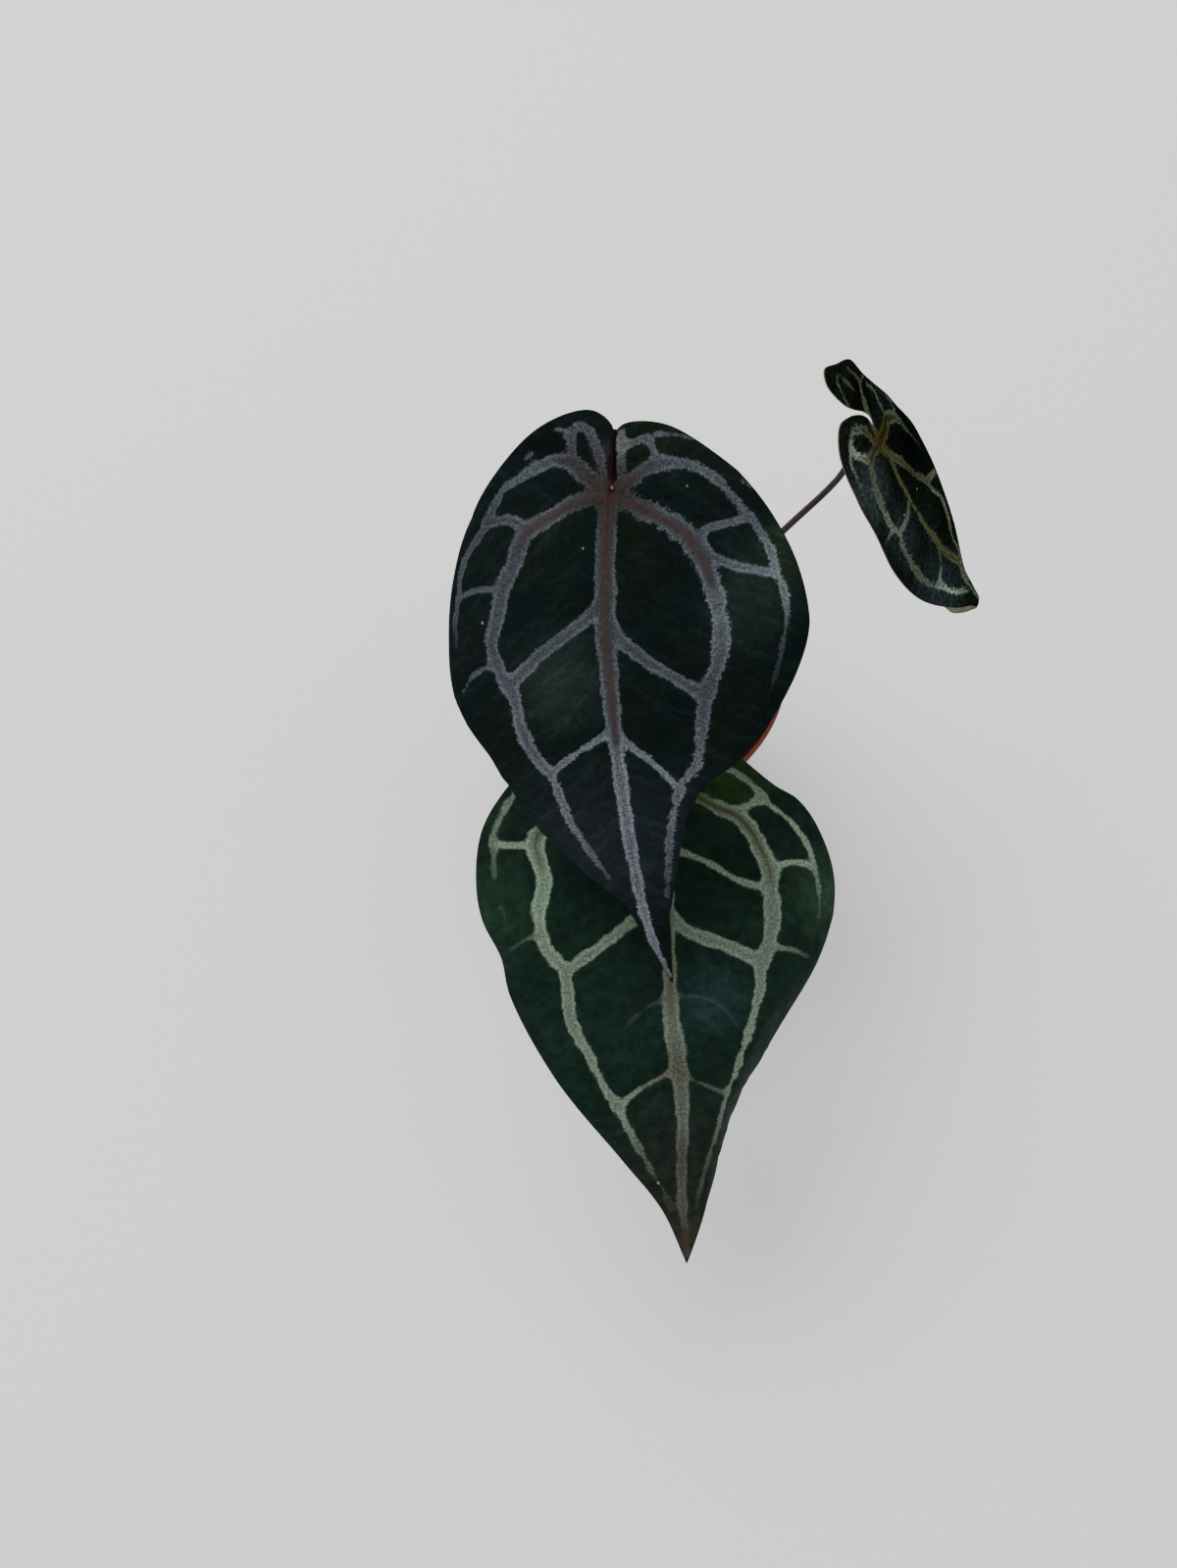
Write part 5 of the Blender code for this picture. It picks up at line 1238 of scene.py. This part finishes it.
def strewn(name, finish, forms, places, triangles, sharp=None):
    """Many reshaped balls as one object, where each place keeps its own `chip` for the pattern."""
    faces = [corners for i in range(len(forms)) for corners in (triangles + i * len(forms[0])).tolist()]
    made = mesh_object(name, np.vstack(places), faces, [finish], sharp)
    store(made.data, "chip", np.vstack(forms))
    put(made)


def crumbs(name, finish, count, sizes, proportions, chops, seed):
    """Loose pieces strewn over the mix, each a ball chopped to facets, joined as one object."""
    draw = np.random.default_rng(seed)
    whole, triangles = ball()
    forms, places = [], []
    for i in range(count):
        form = whole.copy()
        for way in draw.normal(size=(chops, 3)):
            way /= np.linalg.norm(way)
            form -= np.clip(form @ way - draw.uniform(0.35, 0.8), 0.0, None)[:, None] * way
        form *= draw.uniform(*sizes) * np.array(proportions) * draw.uniform(0.75, 1.25, 3)
        angle = i * math.radians(GOLDEN_ANGLE) + draw.uniform(-0.3, 0.3)
        radius = CRUMB_RING[0] + (CRUMB_RING[1] - CRUMB_RING[0]) * math.sqrt((i + 0.5) / count)
        spot = np.array([[math.cos(angle), math.sin(angle)]]) * radius
        tips = (draw.uniform(-0.5, 0.5), draw.uniform(-0.5, 0.5), draw.uniform(0.0, 6.28))
        turn = Euler(tips).to_matrix()
        centre = np.array([*spot[0], mix_height(spot)[0] + 0.3])
        places.append(form @ np.array(turn).T + centre)
        forms.append(form + draw.uniform(-50.0, 50.0, 3))
    strewn(name, finish, forms, places, triangles, 28.0)


def potting_mix():
    """The mix: a crumbly bed with bark chips, popped volcanic glass and coir fibres lying on it."""
    ways = around(MIX_SIDES)
    floor = FLOOR_RISE + FLOOR_THICKNESS + MIX_CLEARANCE
    wall = pot_wall(MIX_TOP) - POT_WALL - MIX_CLEARANCE
    profile = [(0.02, floor), (pot_wall(floor) - POT_WALL - 1.5, floor),
               (pot_wall(floor + 1.5) - POT_WALL - MIX_CLEARANCE, floor + 1.5)]
    rings = [ways * radius + (0.0, 0.0, height) for radius, height in profile]
    for radius in np.concatenate([np.arange(wall, CROWN_RADIUS - 0.8, -0.5), [0.02]]):
        ring = ways * radius
        rise = (mix_height(ring[:, :2]) - MIX_TOP) * smooth((wall - radius) / 1.5)
        ring[:, 2] = MIX_TOP + rise - 0.4 * smooth(1.0 - (radius - CROWN_RADIUS) / 2.0)
        rings.append(ring)
    put(loft("mix_bed", rings, peat("peat_and_coir"), 80.0), "potting_mix")
    crumbs("bark_chips", bark("pine_bark"), 120, (1.3, 3.0), (1.0, 0.62, 0.36), 7, 41)
    crumbs("perlite_grains", popped_glass("popped_glass"), 60, (0.6, 1.3), (1.0, 0.9, 0.8), 5, 42)
    draw = np.random.default_rng(43)
    finish = dry_sheath("coir_fibre")
    fibres = []
    for _ in range(COIR_FIBRES):
        angle, radius, turn = draw.uniform(0.0, 6.28), draw.uniform(9.0, 26.0), draw.uniform(0.0, 6.28)
        start = np.array([math.cos(angle), math.sin(angle)]) * radius
        ahead = np.linspace(-1.0, 1.0, 14)
        bend = draw.uniform(-1.5, 1.5)
        length = draw.uniform(2.0, 4.0)
        flat = start + np.stack([np.cos(turn) * ahead * length - np.sin(turn) * ahead**2 * bend,
                                 np.sin(turn) * ahead * length + np.cos(turn) * ahead**2 * bend], axis=1)
        flat *= np.minimum(1.0, (wall - 1.0) / np.linalg.norm(flat, axis=1))[:, None]
        route = np.hstack([flat, (mix_height(flat) + 0.5 + 0.9 * (1 - ahead**2))[:, None]])
        fibres.append(rod("fibre", route, np.full(14, COIR_RADIUS), 6, finish))
    put(joined("coir_fibres", fibres))


def drops():
    """Small drops left on the blades: (across, along, radius) on each leaf."""
    whole, triangles = ball()
    forms, places = [], []
    for leaf, spots in (
            (LEAF_UPPER, ((-24.0, 20.5, 0.34), (-4.5, 9.5, 0.2), (14.0, 1.5, 0.22), (0.3, -0.3, 0.26))),
            (LEAF_LOWER, ((-5.5, 83.5, 0.34),)),
            (LEAF_SMALL, ((-4.5, 13.5, 0.2), (3.5, 15.0, 0.2)))):
        for across, along, radius in spots:
            flat = np.array([[across, along], [0.0, leaf["length"]]])
            centre, normal = blade_surface(leaf, flat)[0], blade_normal(leaf, flat)[0]
            form = whole * radius
            form -= np.outer(form @ normal, normal) * DROP_SAG
            places.append(in_scene(leaf, form + centre + normal * (QUILT + 0.1)))
            forms.append(form)
    strewn("water_drops", water("drop_of_water"), forms, places, triangles)


def soft_box(name, size, power, place, aim):
    """A large soft light."""
    lamp = bpy.data.lights.new(name, "AREA")
    lamp.shape = "RECTANGLE"
    lamp.size, lamp.size_y = size
    lamp.energy = power
    made = bpy.data.objects.new(name, lamp)
    made.location = place
    made.rotation_euler = (Vector(aim) - Vector(place)).to_track_quat("-Z", "Y").to_euler()
    bpy.context.scene.collection.objects.link(made)


def studio():
    """A pale floor, soft light from above, and the camera at the photograph's angle."""
    paper, add = new_finish("floor_paper", (), Roughness=0.95, Specular_IOR_Level=0.2)
    tooth = add("grain", add("TexCoord", out="Object"), 400.0, 3.0, 0.6)
    dressed(paper, add, add("over", tooth, "eeeeec", "f4f4f2"))
    half = FLOOR_HALF / MM
    corners = [(-half, -half, 0), (half, -half, 0), (half, half, 0), (-half, half, 0)]
    floor = mesh_object("floor", corners, [(0, 1, 2, 3)], [paper])
    world = bpy.data.worlds.new("studio_air")
    world.use_nodes = True
    air = world.node_tree.nodes["Background"].inputs
    air["Color"].default_value = (0.94, 0.97, 1.0, 1.0)
    air["Strength"].default_value = 0.95
    bpy.context.scene.world = world
    soft_box("overhead_box", LIGHT_SIZE, LIGHT_WATTS, LIGHT_AT, LIGHT_AIM)
    lens = bpy.data.cameras.new("view")
    lens.lens = LENS
    lens.sensor_width = SENSOR
    lens.clip_start = 0.01
    camera = bpy.data.objects.new("view", lens)
    camera.location = CAMERA_AT
    camera.rotation_euler = (math.radians(90.0 - CAMERA_ELEVATION), 0, 0)
    bpy.context.scene.collection.objects.link(camera)
    bpy.context.scene.camera = camera


blades()
stalks()
crown()
sheaths()
pot()
potting_mix()
drops()
studio()
